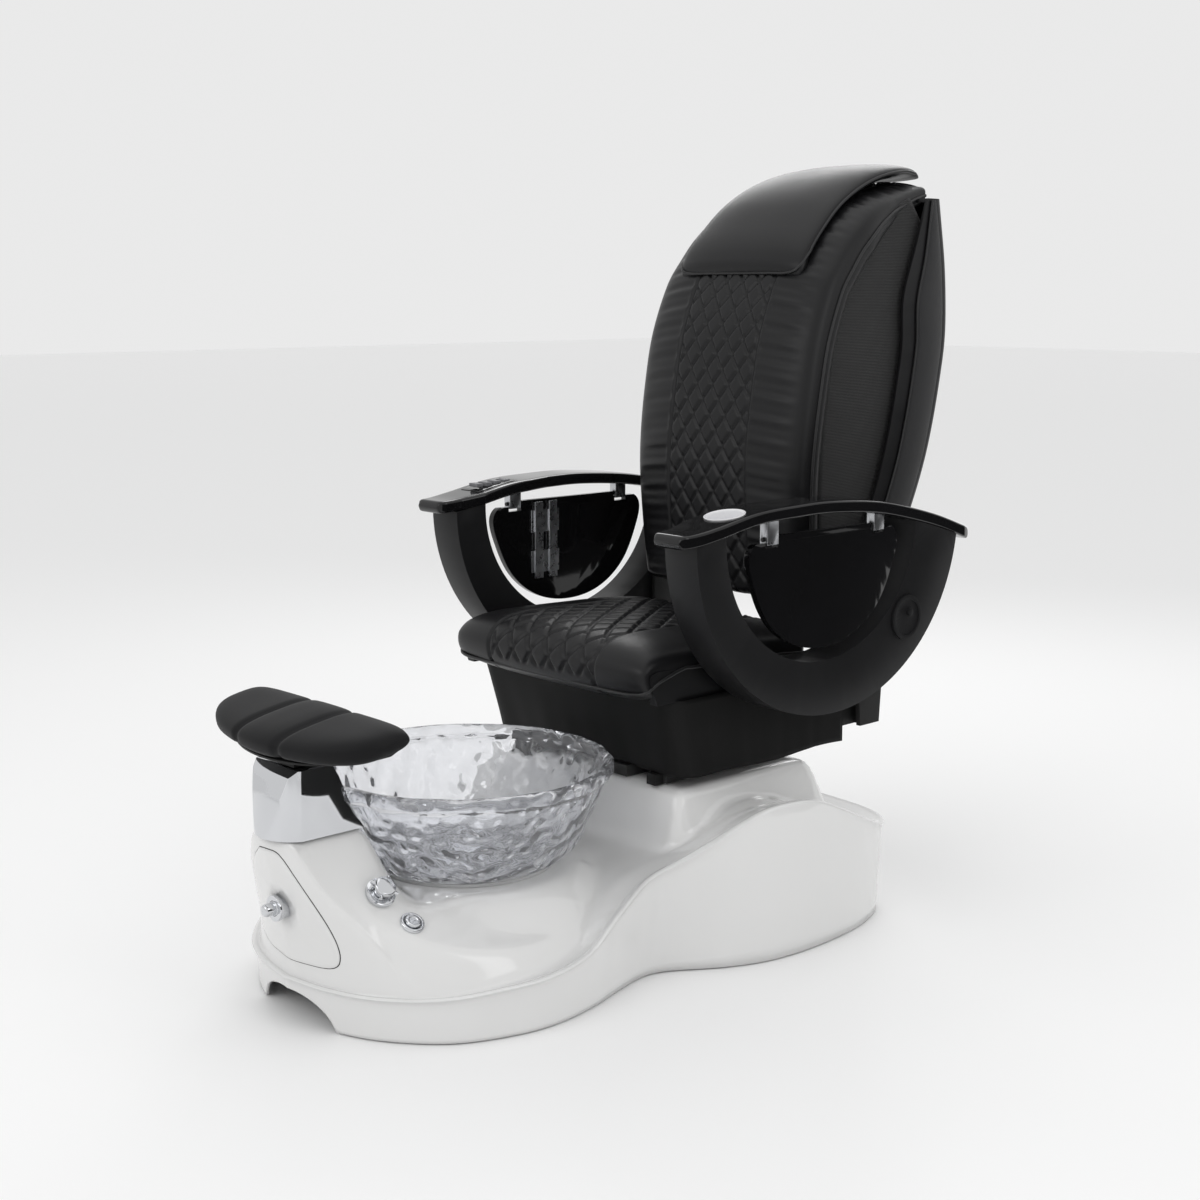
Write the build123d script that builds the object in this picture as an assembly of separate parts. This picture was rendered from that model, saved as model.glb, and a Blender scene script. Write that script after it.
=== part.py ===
from build123d import *
import os
from math import sin, cos, radians

os.makedirs("parts", exist_ok=True)

# Frame: X to the sitter's left, -Y to the footrest, Z up, floor at z = 0. Millimetres.

# ---------------------------------------------------------------- driving dimensions
WALL = 8.0                  # moulded base wall
BOWL_Y = -349.0             # bowl axis
BOWL_R = 279.0              # bowl rim
BOWL_FLOOR = 210.0
BOWL_TOP = 397.0
POST_Y = -718.0             # footrest post axis
CAP_LOW = 337.0
CAP_TOP = 460.0
FOOT_HINGE_Z = 478.0
PED_TOP = 328.0             # pedestal top, under the rails
RAIL_X = 190.0
SCREW_Z = 340.0
FRAME_LOW = 380.0           # underside of the seat frame
SEAT_HALF = 283.0
BACK_HINGE = (380.0, 560.0)
ARM_PIVOT = (468.0, 614.0)
ARM_IN, ARM_OUT = 300.0, 380.0
TRAY_X, TRAY_Z = 366.0, 806.0
LEVER = 160.0               # recline lever length
LEVER_A = radians(12.5)     # its angle at rest

# Half plan of the base at the floor: nose, toe flank, waist, rear bulge, rear centre.
HALF_PLAN = [
    (0, -757), (105, -737), (204, -692), (295, -607), (342, -496), (352, -406), (339, -316),
    (319, -246), (300, -168), (304, -126), (328, -83), (366, -24), (399, 55), (413, 145),
    (411, 259), (394, 363), (352, 458), (276, 515), (143, 539), (0, 544),
]
# Height of the band's upper edge along the side.
BAND_TOP = [
    (-800, 82), (-674, 83), (-536, 93), (-444, 98), (-340, 112), (-278, 140), (-178, 183),
    (-96, 217), (-31, 260), (42, 300), (109, 309), (180, 300), (258, 268), (345, 228),
    (431, 196), (560, 180),
]
# Front view of the nose: half width against height.
BELL = [(67, 337), (90, 290), (114, 256), (145, 220), (180, 190), (247, 150), (313, 126), (420, 112)]
# Arm slab top along Y.
SLAB_TOP = [
    (-165, 833), (-125, 836), (-74, 844), (29, 862), (137, 867), (222, 867), (340, 858),
    (432, 843), (562, 812), (682, 773),
]
SLAB_THICK = 25.0
# Back, side view (Y, Z): front of the cushion, its rear line, and the rear shell.
CUSHION_FRONT = [
    (300, 624), (292, 750), (290, 872), (292, 937), (304, 1064), (326, 1169), (368, 1270),
    (402, 1320), (450, 1375), (500, 1420), (560, 1450), (620, 1462),
]
CUSHION_REAR = [
    (690, 1458), (640, 1415), (590, 1370), (545, 1310), (505, 1240), (470, 1160), (440, 1060),
    (420, 960), (422, 840), (432, 720), (424, 626),
]
SHELL_REAR = [
    (610, 645), (660, 720), (703, 801), (745, 900), (771, 990), (790, 1080), (800, 1149),
    (799, 1230), (790, 1316), (778, 1380), (766, 1440),
]

YZ = Plane.YZ
XZ = Plane((0, 0, 0), x_dir=(1, 0, 0), z_dir=(0, -1, 0))


# ---------------------------------------------------------------- helpers
def poly(points, plane=Plane.XY):
    """A closed straight-sided face on a plane."""
    return plane * make_face(Polyline(*points, close=True))


def curved(curve, corners, plane=Plane.XY):
    """A face bounded by a spline through `curve` and straight lines through `corners`."""
    edges = Curve() + Spline(*curve) + Polyline(curve[-1], *corners, curve[0])
    return plane * make_face(edges)


def slab_of(face, half):
    return extrude(face, amount=half, both=True)


def span_x(face, lo, hi):
    """Extrude a side-view face from x = lo to x = hi."""
    return extrude(Pos(lo, 0, 0) * face, amount=hi - lo, dir=(1, 0, 0))


def span_z(face, lo, hi):
    return extrude(Pos(0, 0, lo) * face, amount=hi - lo, dir=(0, 0, 1))


def block(x0, x1, y0, y1, z0, z1):
    return Pos((x0 + x1) / 2, (y0 + y1) / 2, (z0 + z1) / 2) * Box(x1 - x0, y1 - y0, z1 - z0)


def rod_x(x0, x1, y, z, r):
    return Pos((x0 + x1) / 2, y, z) * Rot(0, 90, 0) * Cylinder(r, x1 - x0)


def rod_y(y0, y1, x, z, r):
    return Pos(x, (y0 + y1) / 2, z) * Rot(90, 0, 0) * Cylinder(r, y1 - y0)


def rod_z(z0, z1, x, y, r):
    return Pos(x, y, (z0 + z1) / 2) * Cylinder(r, z1 - z0)


def both_sides(shape):
    return shape + mirror(shape, about=Plane.YZ)


def save(name, *solids):
    shape = solids[0]
    if len(solids) > 1:
        shape = Compound(children=[s for s in solids])
    export_step(shape, f"parts/{name}.step")
    box = shape.bounding_box()
    print(f"{name:24s} {box.min.X:7.0f} {box.max.X:7.0f} {box.min.Y:7.0f} {box.max.Y:7.0f}"
          f" {box.min.Z:7.0f} {box.max.Z:7.0f}")


def plan_points(inset):
    """Half plan moved inwards, then mirrored into a full closed outline."""
    half = []
    count = len(HALF_PLAN)
    for i, (x, y) in enumerate(HALF_PLAN):
        ax, ay = HALF_PLAN[max(i - 1, 0)]
        bx, by = HALF_PLAN[min(i + 1, count - 1)]
        if i == 0 or i == count - 1:
            tx, ty = (1, 0) if i == 0 else (-1, 0)
        else:
            tx, ty = bx - ax, by - ay
        length = (tx * tx + ty * ty) ** 0.5
        half.append((x - ty / length * inset, y + tx / length * inset))
    return half + [(-x, y) for x, y in half[-2:0:-1]]


def plan_face(inset):
    return make_face(Spline(*plan_points(inset), periodic=True))


# ---------------------------------------------------------------- base moulding
def below(curve, drop, plane=YZ):
    """Everything under a curve, lowered by `drop`."""
    moved = [(a, b - drop) for a, b in curve]
    return curved(moved, [(moved[-1][0], -50), (moved[0][0], -50)], plane)


def base_volume(inset, drop):
    """Outer form of the moulding, or its cavity when inset and drop are the wall."""
    low = 3 if inset == 0 else -10
    skirt = loft([Pos(0, 0, low) * plan_face(inset + 12), Pos(0, 0, 330) * plan_face(inset)])
    band = skirt & slab_of(below(BAND_TOP, drop), 500)

    bell_pts = [(x - inset, z - drop) for x, z in BELL]
    mirrored = [(-x, z) for x, z in bell_pts[::-1]]
    bell = poly(mirrored + bell_pts + [(bell_pts[-1][0], -50), (mirrored[0][0], -50)], XZ)
    bell = slab_of(bell, 900)

    deck = span_z(plan_face(inset + 42), low, 400)
    deck_side = poly([(-900, -50), (-900, 204 - drop), (-150, 204 - drop), (-150, -50)], YZ)
    deck = deck & slab_of(deck_side, 500) & bell

    nose_side = poly([
        (-700, 20), (-706 + inset, 60), (-737 + inset, 124), (-750 + inset, 192),
        (-772 + inset, 260), (-788 + inset, 318), (-787 + inset, CAP_LOW - drop),
        (-621 - inset, CAP_LOW - drop), (-606 - inset, 285 - drop), (-570 - inset, 235 - drop),
        (-548 - inset, 204 - drop), (-548 - inset, 20),
    ], YZ)
    nose = span_z(plan_face(inset - 16), low, 400) & slab_of(nose_side, 235 - inset) & bell

    pod = Pos(0, BOWL_Y, (100 + 204 - drop) / 2) * Cone(
        290 - inset, 215 - inset, 104 - drop, align=(Align.CENTER, Align.CENTER, Align.CENTER))

    ped_side = poly([
        (-58 + inset, 20), (-58 + inset, PED_TOP - drop), (322 - inset, PED_TOP - drop),
        (400 - inset, 212), (410 - inset, 20),
    ], YZ)
    pedestal = slab_of(ped_side, 285 - inset)
    return band + deck + nose + pod + pedestal


outer = base_volume(0, 0)
cavity = base_volume(WALL, WALL)
post_hole = rod_z(300, 360, 0, POST_Y, 29)
toe_arch = Pos(0, -720, 3) * Rot(90, 0, 0) * extrude(Ellipse(112, 56), amount=90, both=True)

KNOB_AT, KNOB_DIR = (133, -639, 238), (0.707, 0.0, 0.707)
BUTTON_AT, BUTTON_DIR = (182, -609, 189), (0.54, 0.0, 0.84)
SPRAY_X, SPRAY_Z = 12.0, 212.0
knob_plane = Plane(KNOB_AT, z_dir=KNOB_DIR)
button_plane = Plane(BUTTON_AT, z_dir=BUTTON_DIR)


def along(plane, lo, hi, r):
    """A cylinder on a tilted control axis, from height lo to hi."""
    return plane * Pos(0, 0, (lo + hi) / 2) * Cylinder(r, hi - lo)


base_shell = outer - cavity
base_shell -= post_hole
base_shell -= toe_arch
base_shell -= along(knob_plane, -60, 60, 9)
base_shell -= along(button_plane, -60, 60, 16.5)
base_shell -= rod_y(-830, -680, SPRAY_X, SPRAY_Z, 21)
base_shell -= rod_z(150, 230, 0, BOWL_Y, 31)
base_shell -= block(-25, 25, 500, 580, 75, 105)
save("base_shell", *base_shell.solids()[:1])
print("base solids", len(base_shell.solids()), [round(s.volume) for s in base_shell.solids()][:4])

# Thin removable access panel following the nose.
panel_front = poly([(-52, 322), (52, 322), (78, 280), (104, 222), (122, 150), (112, 128),
                    (-112, 128), (-122, 150), (-104, 222), (-78, 280)], XZ)
panel_zone = extrude(panel_front, amount=900, dir=(0, -1, 0)) & block(-200, 200, -900, -640, 0, 400)
nose_skin = Pos(0, -3.2, 0) * outer - Pos(0, -0.2, 0) * outer
service_panel = (nose_skin & panel_zone) - rod_y(-900, -600, SPRAY_X, SPRAY_Z, 23.5)
service_panel = max(service_panel.solids(), key=lambda s: s.volume)
save("service_panel", service_panel)


# ---------------------------------------------------------------- tower cap
def cap_volume(inset):
    side = poly([
        (-789 + inset, CAP_LOW + 0.5 - inset), (-776 + inset, 411), (-766 + inset, 448 - inset),
        (-752 + inset, CAP_TOP - inset), (-684 - inset, CAP_TOP - inset), (-672 - inset, 438),
        (-643 - inset, 368), (-622 - inset, CAP_LOW + 0.5 - inset),
    ], YZ)
    w = 67 - inset
    nose = ThreePointArc((-w, -748), (0, -789 + inset), (w, -748))
    sides = Polyline((w, -748), (w, -610), (-w, -610), (-w, -748))
    plan = make_face(Curve() + nose + sides)
    return span_z(plan, 300, 480) & slab_of(side, 100)


tower_cap = cap_volume(0) - cap_volume(4) - rod_z(440, 470, 0, POST_Y, 21)
save("tower_cap", tower_cap)

sleeve = rod_z(240, 451, 0, POST_Y, 26) + rod_z(451, 455.5, 0, POST_Y, 28)
sleeve += rod_z(318, 328.5, 0, POST_Y, 36)
sleeve -= rod_z(200, 480, 0, POST_Y, 19.6)
save("footrest_sleeve", sleeve)

# ---------------------------------------------------------------- controls on the nose
socket = rod_y(-774, -700, SPRAY_X, SPRAY_Z, 20.5) + rod_y(-776, -768, SPRAY_X, SPRAY_Z, 23)
socket -= rod_y(-800, -690, SPRAY_X, SPRAY_Z, 13.5)
socket = max((socket - service_panel).solids(), key=lambda s: s.volume)
save("spray_socket", socket)
head = rod_y(-797, -777, SPRAY_X, SPRAY_Z, 19) + rod_y(-778, -715, SPRAY_X, SPRAY_Z, 13)
head -= rod_y(-800, -793, SPRAY_X, SPRAY_Z, 14)
save("spray_head", head)
save("spray_hose", rod_y(-714.7, -602, SPRAY_X, SPRAY_Z, 7))

valve = along(knob_plane, -66, -22, 20) + along(knob_plane, -24, 16, 6)
valve += along(knob_plane, -2, 5, 27) - outer
valve = max(valve.solids(), key=lambda s: s.volume)
save("diverter_valve", valve)
knob = along(knob_plane, 6, 28, 17)
for k in range(4):
    lobe = Rot(0, 0, 45 + 90 * k) * Pos(17, 0, 17) * Cylinder(8.5, 20)
    knob += knob_plane * lobe
knob -= along(knob_plane, 4, 18, 6.05)
save("diverter_knob", knob)

bezel = along(button_plane, -1, 6, 22) - outer
bezel += along(button_plane, -32, 5, 16)
bezel -= along(button_plane, -28, 9, 14.6)
bezel = max(bezel.solids(), key=lambda s: s.volume)
save("air_button_switch", bezel)
save("air_button", along(button_plane, -20, 10, 14.2))

# ---------------------------------------------------------------- bowl and drain
bowl_outer = [(0, BOWL_FLOOR), (150, BOWL_FLOOR), (182, BOWL_FLOOR + 8), (205, 236), (232, 290),
              (256, 340), (270, 372), (279, 378), (279, 392), (273, BOWL_TOP), (263, BOWL_TOP)]
bowl_inner = [(258, 380), (247, 345), (223, 294), (197, 242), (176, 224), (150, 218), (0, 218)]
bowl_face = make_face(Polyline(*bowl_outer, *bowl_inner, close=True))
bowl = revolve(XZ * bowl_face, axis=Axis.Z, revolution_arc=360)
bowl = Pos(0, BOWL_Y, 0) * bowl - rod_z(200, 230, 0, BOWL_Y, 22)
save("glass_bowl", bowl)
gasket = rod_z(204.2, 209.8, 0, BOWL_Y, 170) - rod_z(200, 215, 0, BOWL_Y, 120)
save("bowl_gasket", gasket)
drain = rod_z(218.2, 222, 0, BOWL_Y, 34) + rod_z(140, 220, 0, BOWL_Y, 21.5)
drain += rod_z(180, 190, 0, BOWL_Y, 40)
drain -= rod_z(150, 221, 0, BOWL_Y, 15)
for k in range(6):
    drain -= Pos(0, BOWL_Y, 0) * Rot(0, 0, 60 * k) * rod_z(215, 230, 24, 0, 3)
    drain -= Pos(0, BOWL_Y, 0) * Rot(0, 0, 60 * k) * rod_z(215, 230, 9, 0, 3)
save("drain_fitting", drain)
pump = rod_z(58, 118, 0, BOWL_Y, 60) + rod_z(118, 139.5, 0, BOWL_Y, 24)
pump += rod_y(BOWL_Y, BOWL_Y + 130, 0, 92, 32) + rod_x(-110, 0, BOWL_Y, 85, 16)
save("drain_pump", pump)

# ---------------------------------------------------------------- inside the base
frame = both_sides(block(130, 170, -560, 430, 16, 54))
for y in (-540, BOWL_Y, -60, 200, 410):
    frame += block(-130, 130, y - 18, y + 18, 20, 50)
frame += block(-130, 130, BOWL_Y - 60, BOWL_Y + 60, 50, 57)
for y in (0, 280):
    frame += both_sides(block(130, 170, y - 20, y + 20, 54, 310))
frame += block(-225, 225, -30, 303, 310, 319.5)
save("base_frame", frame)
feet = []
for y in (-520, -60, 390):
    for x in (-150, 150):
        feet.append(rod_z(0, 6, x, y, 26) + rod_z(6, 15.7, x, y, 9))
save("leveling_feet", *feet)
save("air_blower", rod_z(54.5, 150, -70, 90, 52) + rod_y(90, 160, -70, 110, 22))
save("control_box", block(-85, 85, 392, 450, 54.5, 150))
inlet = block(-24.5, 24.5, 500, 536, 76, 104) + block(-32, 32, 530, 542, 68, 112) - outer
inlet -= block(-16, 16, 520, 560, 82, 98)
inlet = max(inlet.solids(), key=lambda s: s.volume)
save("power_inlet", inlet)
rails = []
for x in (-RAIL_X, RAIL_X):
    rails.append(block(x - 12, x + 12, -50, 318, PED_TOP + 0.2, 350))
save("slide_rails", *rails)
drive = block(62, 118, -45, 28, PED_TOP + 0.2, 350.4) + rod_y(28, 305, 90, SCREW_Z, 6)
drive += block(76, 104, 296, 312, PED_TOP + 0.2, 350)
save("seat_drive", drive)

# ---------------------------------------------------------------- footrest
post = rod_z(300, 464, 0, POST_Y, 19) + block(-46, 46, POST_Y - 30, POST_Y + 30, 462, 468)
ears = block(27, 33, POST_Y - 9, POST_Y + 9, 466, FOOT_HINGE_Z) + rod_x(27, 33, POST_Y, FOOT_HINGE_Z, 9)
post += both_sides(ears) + rod_x(-36, 36, POST_Y, FOOT_HINGE_Z, 4)
save("footrest_post", post)
tilt = Pos(0, POST_Y, FOOT_HINGE_Z) * Rot(10, 0, 0)
PAD_FORWARD = 18.0          # the hinge sits forward of the pad's middle
pad_curve = [(-232, 46), (-205, -10), (-130, -68), (0, -95), (130, -68), (205, -10), (232, 46)]
pad_curve = [(x, y + PAD_FORWARD) for x, y in pad_curve]
pad_back = [(226, 88), (200, 96), (0, 102), (-200, 96), (-226, 88)]
pad_face = curved(pad_curve, pad_back)
plate_curve = [(x * 0.9, y * 0.86 + 2) for x, y in pad_curve]
plate_face = curved(plate_curve, [(200, 78), (0, 88), (-200, 78)])
plate = span_z(plate_face, 11, 15)
plate += block(-24, 24, -8, 8, 0, 11.5) + rod_x(-24, 24, 0, 0, 9)
plate -= rod_x(-30, 30, 0, 0, 4.06)
save("footrest_plate", tilt * plate)
pad = span_z(pad_face, 22, 46)
pad += loft([Pos(0, 0, 46) * pad_face, Pos(0, 0, 56) * scale(pad_face, by=0.96)])
pad += loft([Pos(0, 0, 15.3) * scale(pad_face, by=0.97), Pos(0, 0, 22) * pad_face])
for x in (-59, 59):
    pad -= Pos(x, 0, 56) * Rot(0, 45, 0) * Box(7, 300, 7)
save("footrest_pad", tilt * pad)

# ---------------------------------------------------------------- seat
seat_frame = both_sides(block(262, 270, -35, 485, FRAME_LOW, 494))
seat_frame += block(-262, 262, -35, -5, FRAME_LOW, 412)
seat_frame += both_sides(block(34, 262, 135, 165, FRAME_LOW, 412))
seat_frame += block(-296, 296, 455, 485, FRAME_LOW, 412)
arm_plate = poly([(440, 380), (500, 380), (512, 560), (512, 630), (494, 655), (442, 655),
                  (424, 630), (424, 560)], YZ)
seat_frame += both_sides(span_x(arm_plate, 286, 296))
seat_frame += block(-262, 262, 350, 375, 452, 480)
ear = poly([(350, 452), (400, 452), (400, 560), (394, 576), (366, 576), (358, 560)], YZ)
seat_frame += both_sides(span_x(ear, 140, 148))
seat_frame += both_sides(rod_x(124, 148, *BACK_HINGE, 8))
seat_frame -= block(-14, 14, 330, 390, 440, 490)
save("seat_frame", seat_frame)
pivots = []
for s in (-1, 1):
    a, b = sorted((s * 296.2, s * 344))
    pivots.append(rod_x(a, b, *ARM_PIVOT, 15))
save("arm_pivot_pins", *pivots)
carriage = []
for x in (-RAIL_X, RAIL_X):
    for y in (-30, 120):
        c = block(x - 22, x + 22, y, y + 60, 331, FRAME_LOW - 0.2)
        carriage.append(c - block(x - 12.5, x + 12.5, y - 1, y + 61, 320, 350.6))
nut = block(74, 106, 138, 162, 330, FRAME_LOW - 0.2) - rod_y(130, 170, 90, SCREW_Z, 6.06)
save("seat_carriages", *carriage, nut)
pan = block(-272, 272, -72, 340, 494.3, 506)
save("seat_pan", fillet(pan.edges().filter_by(Axis.Z), 34))
actuator = rod_y(10, 290, 0, 404, 22) + block(-20, 20, -5, 12, 385, 423)
actuator += block(16, 33, 15, 75, 384, 424)
actuator -= rod_y(24, 300, 0, 404, 10.6)
save("recline_actuator", actuator)

seat_side = curved(
    [(-150, 530), (-165, 575), (-150, 604), (-100, 618), (100, 613), (285, 602)],
    [(304, 585), (304, 508.5), (-122, 508.5)], YZ)
cushion = span_x(seat_side, -SEAT_HALF, SEAT_HALF)
cushion = fillet(cushion.edges().filter_by(GeomType.BSPLINE), 16)
save("seat_cushion", cushion)


def skirt_form(inset):
    low = Pos(0, 190, 352) * RectangleRounded(2 * (286 - inset), 2 * (228 - inset), 40 - inset)
    high = Pos(0, 165, 507) * RectangleRounded(2 * (288 - inset), 2 * (255 - inset), 40 - inset)
    return loft([low, high])


skirt = (skirt_form(0) - skirt_form(3)) & block(-400, 400, -200, 405, 300, 600)
skirt -= block(-400, 400, -200, 500, 0, 353)
save("seat_skirt", *skirt.solids()[:1])
print("skirt solids", len(skirt.solids()))

# ---------------------------------------------------------------- back
hy, hz = BACK_HINGE
upright_mid = [(380, 560), (462, 618), (508, 690), (545, 800), (580, 940), (615, 1100), (650, 1250), (690, 1400)]
left_line = [(y - 13, z + 8) for y, z in upright_mid]
right_line = [(y + 13, z - 4) for y, z in upright_mid]
upright = poly(left_line + right_line[::-1], YZ)
back_frame = both_sides(span_x(upright, 112, 136)) + both_sides(rod_x(124.5, 138, hy, hz, 19))
back_frame += rod_x(-124, 124, hy, hz, 15)
back_frame += block(-112, 112, 494, 518, 684, 708) + block(-112, 112, 668, 692, 1366, 1392)
back_frame -= both_sides(rod_x(120, 140, hy, hz, 8.06))
by, bz = hy + LEVER * sin(LEVER_A), hz - LEVER * cos(LEVER_A)
lever = Pos(0, hy, hz) * Rot(12.5, 0, 0) * block(-6, 6, -14, 14, -LEVER - 17, 0)
slot = Pos(0, hy, hz) * Rot(12.5, 0, 0) * block(-8, 8, -9, 9, -LEVER - 12, -LEVER + 12)
back_frame += lever - slot
save("back_frame", back_frame)
rod = rod_y(120, 386, 0, bz, 10)
rod += both_sides(block(9, 14, 384, by + 9, bz - 9, bz + 9)) + block(-14, 14, 380, 388, bz - 9, bz + 9)
rod += rod_x(-14, 14, by, bz, 4)
save("recline_rod", rod)

back_side = YZ * make_face(
    Curve() + Spline(*CUSHION_FRONT) + Line(CUSHION_FRONT[-1], CUSHION_REAR[0])
    + Spline(*CUSHION_REAR) + Line(CUSHION_REAR[-1], CUSHION_FRONT[0]))
back_cushion = span_x(back_side, -237, 237)
save("back_cushion", back_cushion)

pillow_outer = [(366, 1286), (385, 1320), (425, 1372), (476, 1426), (530, 1464), (600, 1492),
                (680, 1514), (745, 1521), (782, 1508)]
pillow_inner = [(780, 1484), (692, 1466), (620, 1467), (556, 1455), (497, 1425), (446, 1380),
                (399, 1326), (378, 1292)]
pillow = span_x(curved(pillow_outer, pillow_inner, YZ), -190, 190)
save("headrest_pillow", pillow)

shell_front = [(y - 165 + max(0, z - 1250) * 0.55, z) for y, z in SHELL_REAR]
shell_front[0] = (516, 645)


def shell_side(inset):
    rear = [(y - inset, z) for y, z in SHELL_REAR]
    return YZ * make_face(
        Curve() + Spline(*rear) + Polyline(rear[-1], shell_front[-1]) + Spline(*shell_front[::-1])
        + Line(shell_front[0], rear[0]))


shell = span_x(shell_side(0), -224, 224)
long_edges = [e for e in shell.edges().filter_by(GeomType.BSPLINE) if e.center().Y > 740]
shell = fillet(long_edges, 34)
shell -= span_x(shell_side(6), -217, 217) & block(-300, 300, 0, 900, 655, 1432)
save("back_shell", *shell.solids()[:1])
print("shell solids", len(shell.solids()))

flank_rear = [(y - 42, z) for y, z in SHELL_REAR]
flank_front = [(y - 120 + max(0, z - 1250) * 0.3, z) for y, z in SHELL_REAR]
flank = curved(flank_rear, flank_front[::-1], YZ)
panel_l = span_x(flank, 224.6, 238)
save("back_side_panels", panel_l, mirror(panel_l, about=Plane.YZ))
mesh_front = [(y + 8, z) for y, z in CUSHION_REAR[7:0:-1]]
mesh_rear = [(y - 112, z) for y, z in SHELL_REAR[1:9]]
mesh = poly(mesh_front + mesh_rear[::-1], YZ)
mesh_l = span_x(mesh, 205, 211)
save("back_mesh_panels", mesh_l, mirror(mesh_l, about=Plane.YZ))

# Massage carriage on straight rails behind the cushion.
rail_dir = (115.0, 480.0)
rail_len = (rail_dir[0] ** 2 + rail_dir[1] ** 2) ** 0.5
rail_tilt = Pos(0, 500, 760) * Rot(-13.47, 0, 0)
mrails = []
for x in (-90, 90):
    mrails.append(rail_tilt * block(x - 6, x + 6, -8, 8, -46, 620))
save("massage_rails", *mrails)
m_body = block(-83.4, 83.4, -12, 14, 20, 90)
m_body += both_sides(block(96.6, 103, -14, 14, 30, 80)) + both_sides(block(83, 103, 8.6, 14, 30, 80))
m_body += both_sides(block(70, 78, -50, 0, 42, 68))
m_body -= rod_x(-80, 80, -44, 55, 6.06)
save("massage_carriage", rail_tilt * m_body)
m_roll = rod_x(-82, 82, -44, 55, 6)
for x in (-42, 42):
    m_roll += rod_x(x - 11, x + 11, -44, 55, 27)
save("massage_rollers", rail_tilt * m_roll)

# ---------------------------------------------------------------- arms
slab_low = [(y, z - SLAB_THICK) for y, z in SLAB_TOP]
slab_side = YZ * make_face(
    Curve() + Spline(*SLAB_TOP) + Line(SLAB_TOP[-1], slab_low[-1])
    + Spline(*slab_low[::-1]) + Line(slab_low[0], SLAB_TOP[0]))
slab_plan = curved(
    [(384, -160), (389, -100), (390, 0), (389, 300), (386, 560), (376, 665)],
    [(370, 682), (312, 682), (303, 660), (301, 120), (285, 60), (283, -60), (300, -110),
     (302, -150), (316, -165), (370, -165)])
slab = span_z(slab_plan, 700, 900) & span_x(slab_side, 250, 420)
over_slab = curved(slab_low, [(682, 1100), (-165, 1100)], YZ)
CUP = (342.0, -16.0)
cup_top = 857.0

ring_outer = Pos(253, 812) * Ellipse(378, 359)
ring_outer = ring_outer & Pos(253, 400) * Rectangle(1000, 824)
ring_outer = ring_outer + Pos(253, 840) * Rectangle(756, 60)
ring_inner = Pos(222, 812) * Ellipse(272, 252)
ring_inner = ring_inner & Pos(222, 400) * Rectangle(1000, 824)
ring_inner = ring_inner + Pos(222, 860) * Rectangle(544, 100)
ring = YZ * (ring_outer - ring_inner)
housing = span_x(ring, ARM_IN, ARM_OUT) - span_x(over_slab, 250, 420)
housing = max(housing.solids(), key=lambda s: s.volume)
housing -= rod_x(290, 345, *ARM_PIVOT, 15.06)
housing -= Pos(0, 0, -0.2) * slab
cap = rod_x(ARM_OUT + 0.2, 386, *ARM_PIVOT, 45) - rod_x(384, 390, *ARM_PIVOT, 36)
cap += rod_x(382, 389, ARM_PIVOT[0] + 6, ARM_PIVOT[1] + 10, 8)

cup_hole = rod_z(800, 900, *CUP, 37.5)
cup_bore = rod_z(cup_top - 34, 900, *CUP, 34)
cup = rod_z(cup_top - 38, cup_top + 2, *CUP, 37) + (rod_z(cup_top + 1, cup_top + 4, *CUP, 42))
cup -= cup_bore
left_slab = slab - cup_hole - rod_z(cup_top + 0.5, 900, *CUP, 43)
left_slab = max(left_slab.solids(), key=lambda s: s.volume)
left_housing = housing - rod_z(cup_top - 39, 900, *CUP, 37.5)
left_housing = max(left_housing.solids(), key=lambda s: s.volume)

KEY_Y = (-62.0, 42.0)
pocket = block(306, 366, KEY_Y[0], KEY_Y[1], 846, 900)
right_slab = slab - pocket
keypad = block(306.3, 365.7, KEY_Y[0] + 0.3, KEY_Y[1] - 0.3, 846.2, 863)
keypad &= span_x(curved([(y, z + 1) for y, z in SLAB_TOP], [(682, 700), (-165, 700)], YZ), 250, 420)
key_centres = [KEY_Y[0] + 16 + 24 * k for k in range(4)]
keys = []
for y in key_centres:
    top = 861.0 + (y + 10) * 0.05
    keypad -= block(322, 350, y - 8, y + 8, 851, 900)
    keys.append(block(322.4, 349.6, y - 7.6, y + 7.6, 854, top + 1.8))

bracket = block(357, 376, 62, 92, 796, 870) + block(357, 376, 368, 398, 796, 870)
bracket = bracket - span_x(over_slab, 250, 420)
bracket -= rod_y(0, 500, TRAY_X, TRAY_Z, 4.2)
brackets = bracket.solids()
tray_face = make_face(
    Polyline((34, 800), (426, 800))
    + Spline((426, 800), (440, 786), (432, 730), (392, 655), (320, 602), (230, 585),
             (140, 602), (68, 655), (28, 730), (20, 786), (34, 800)))
tray = span_x(YZ * tray_face, 359, 373)
tray += block(360, 372, 97, 363, 799, 811)
tray += rod_y(58, 402, TRAY_X, TRAY_Z, 4)
for y in (77, 383):
    tray -= block(350, 380, y - 17, y + 17, 790, 801.9)
    tray -= block(350, 380, y - 17, y + 17, 790, 796)
    tray += rod_y(y - 19, y + 19, TRAY_X, TRAY_Z, 4)



def as_built(shape):
    return shape


def mirrored_x(shape):
    return mirror(shape, about=Plane.YZ)


for side, flip, body, top in (("left", as_built, left_housing, left_slab),
                              ("right", mirrored_x, housing, right_slab)):
    save(f"arm_{side}_housing", flip(body))
    save(f"arm_{side}_slab", flip(top))
    save(f"arm_{side}_pivot_cap", flip(cap))
    save(f"tray_{side}_brackets", *[flip(b) for b in brackets])
    save(f"tray_{side}", flip(tray))
save("cup_holder", cup)
save("remote_panel", mirror(keypad, about=Plane.YZ))
for name, key in zip(("power", "recline", "slide", "massage"), keys):
    save(f"button_{name}", mirror(key, about=Plane.YZ))
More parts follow.
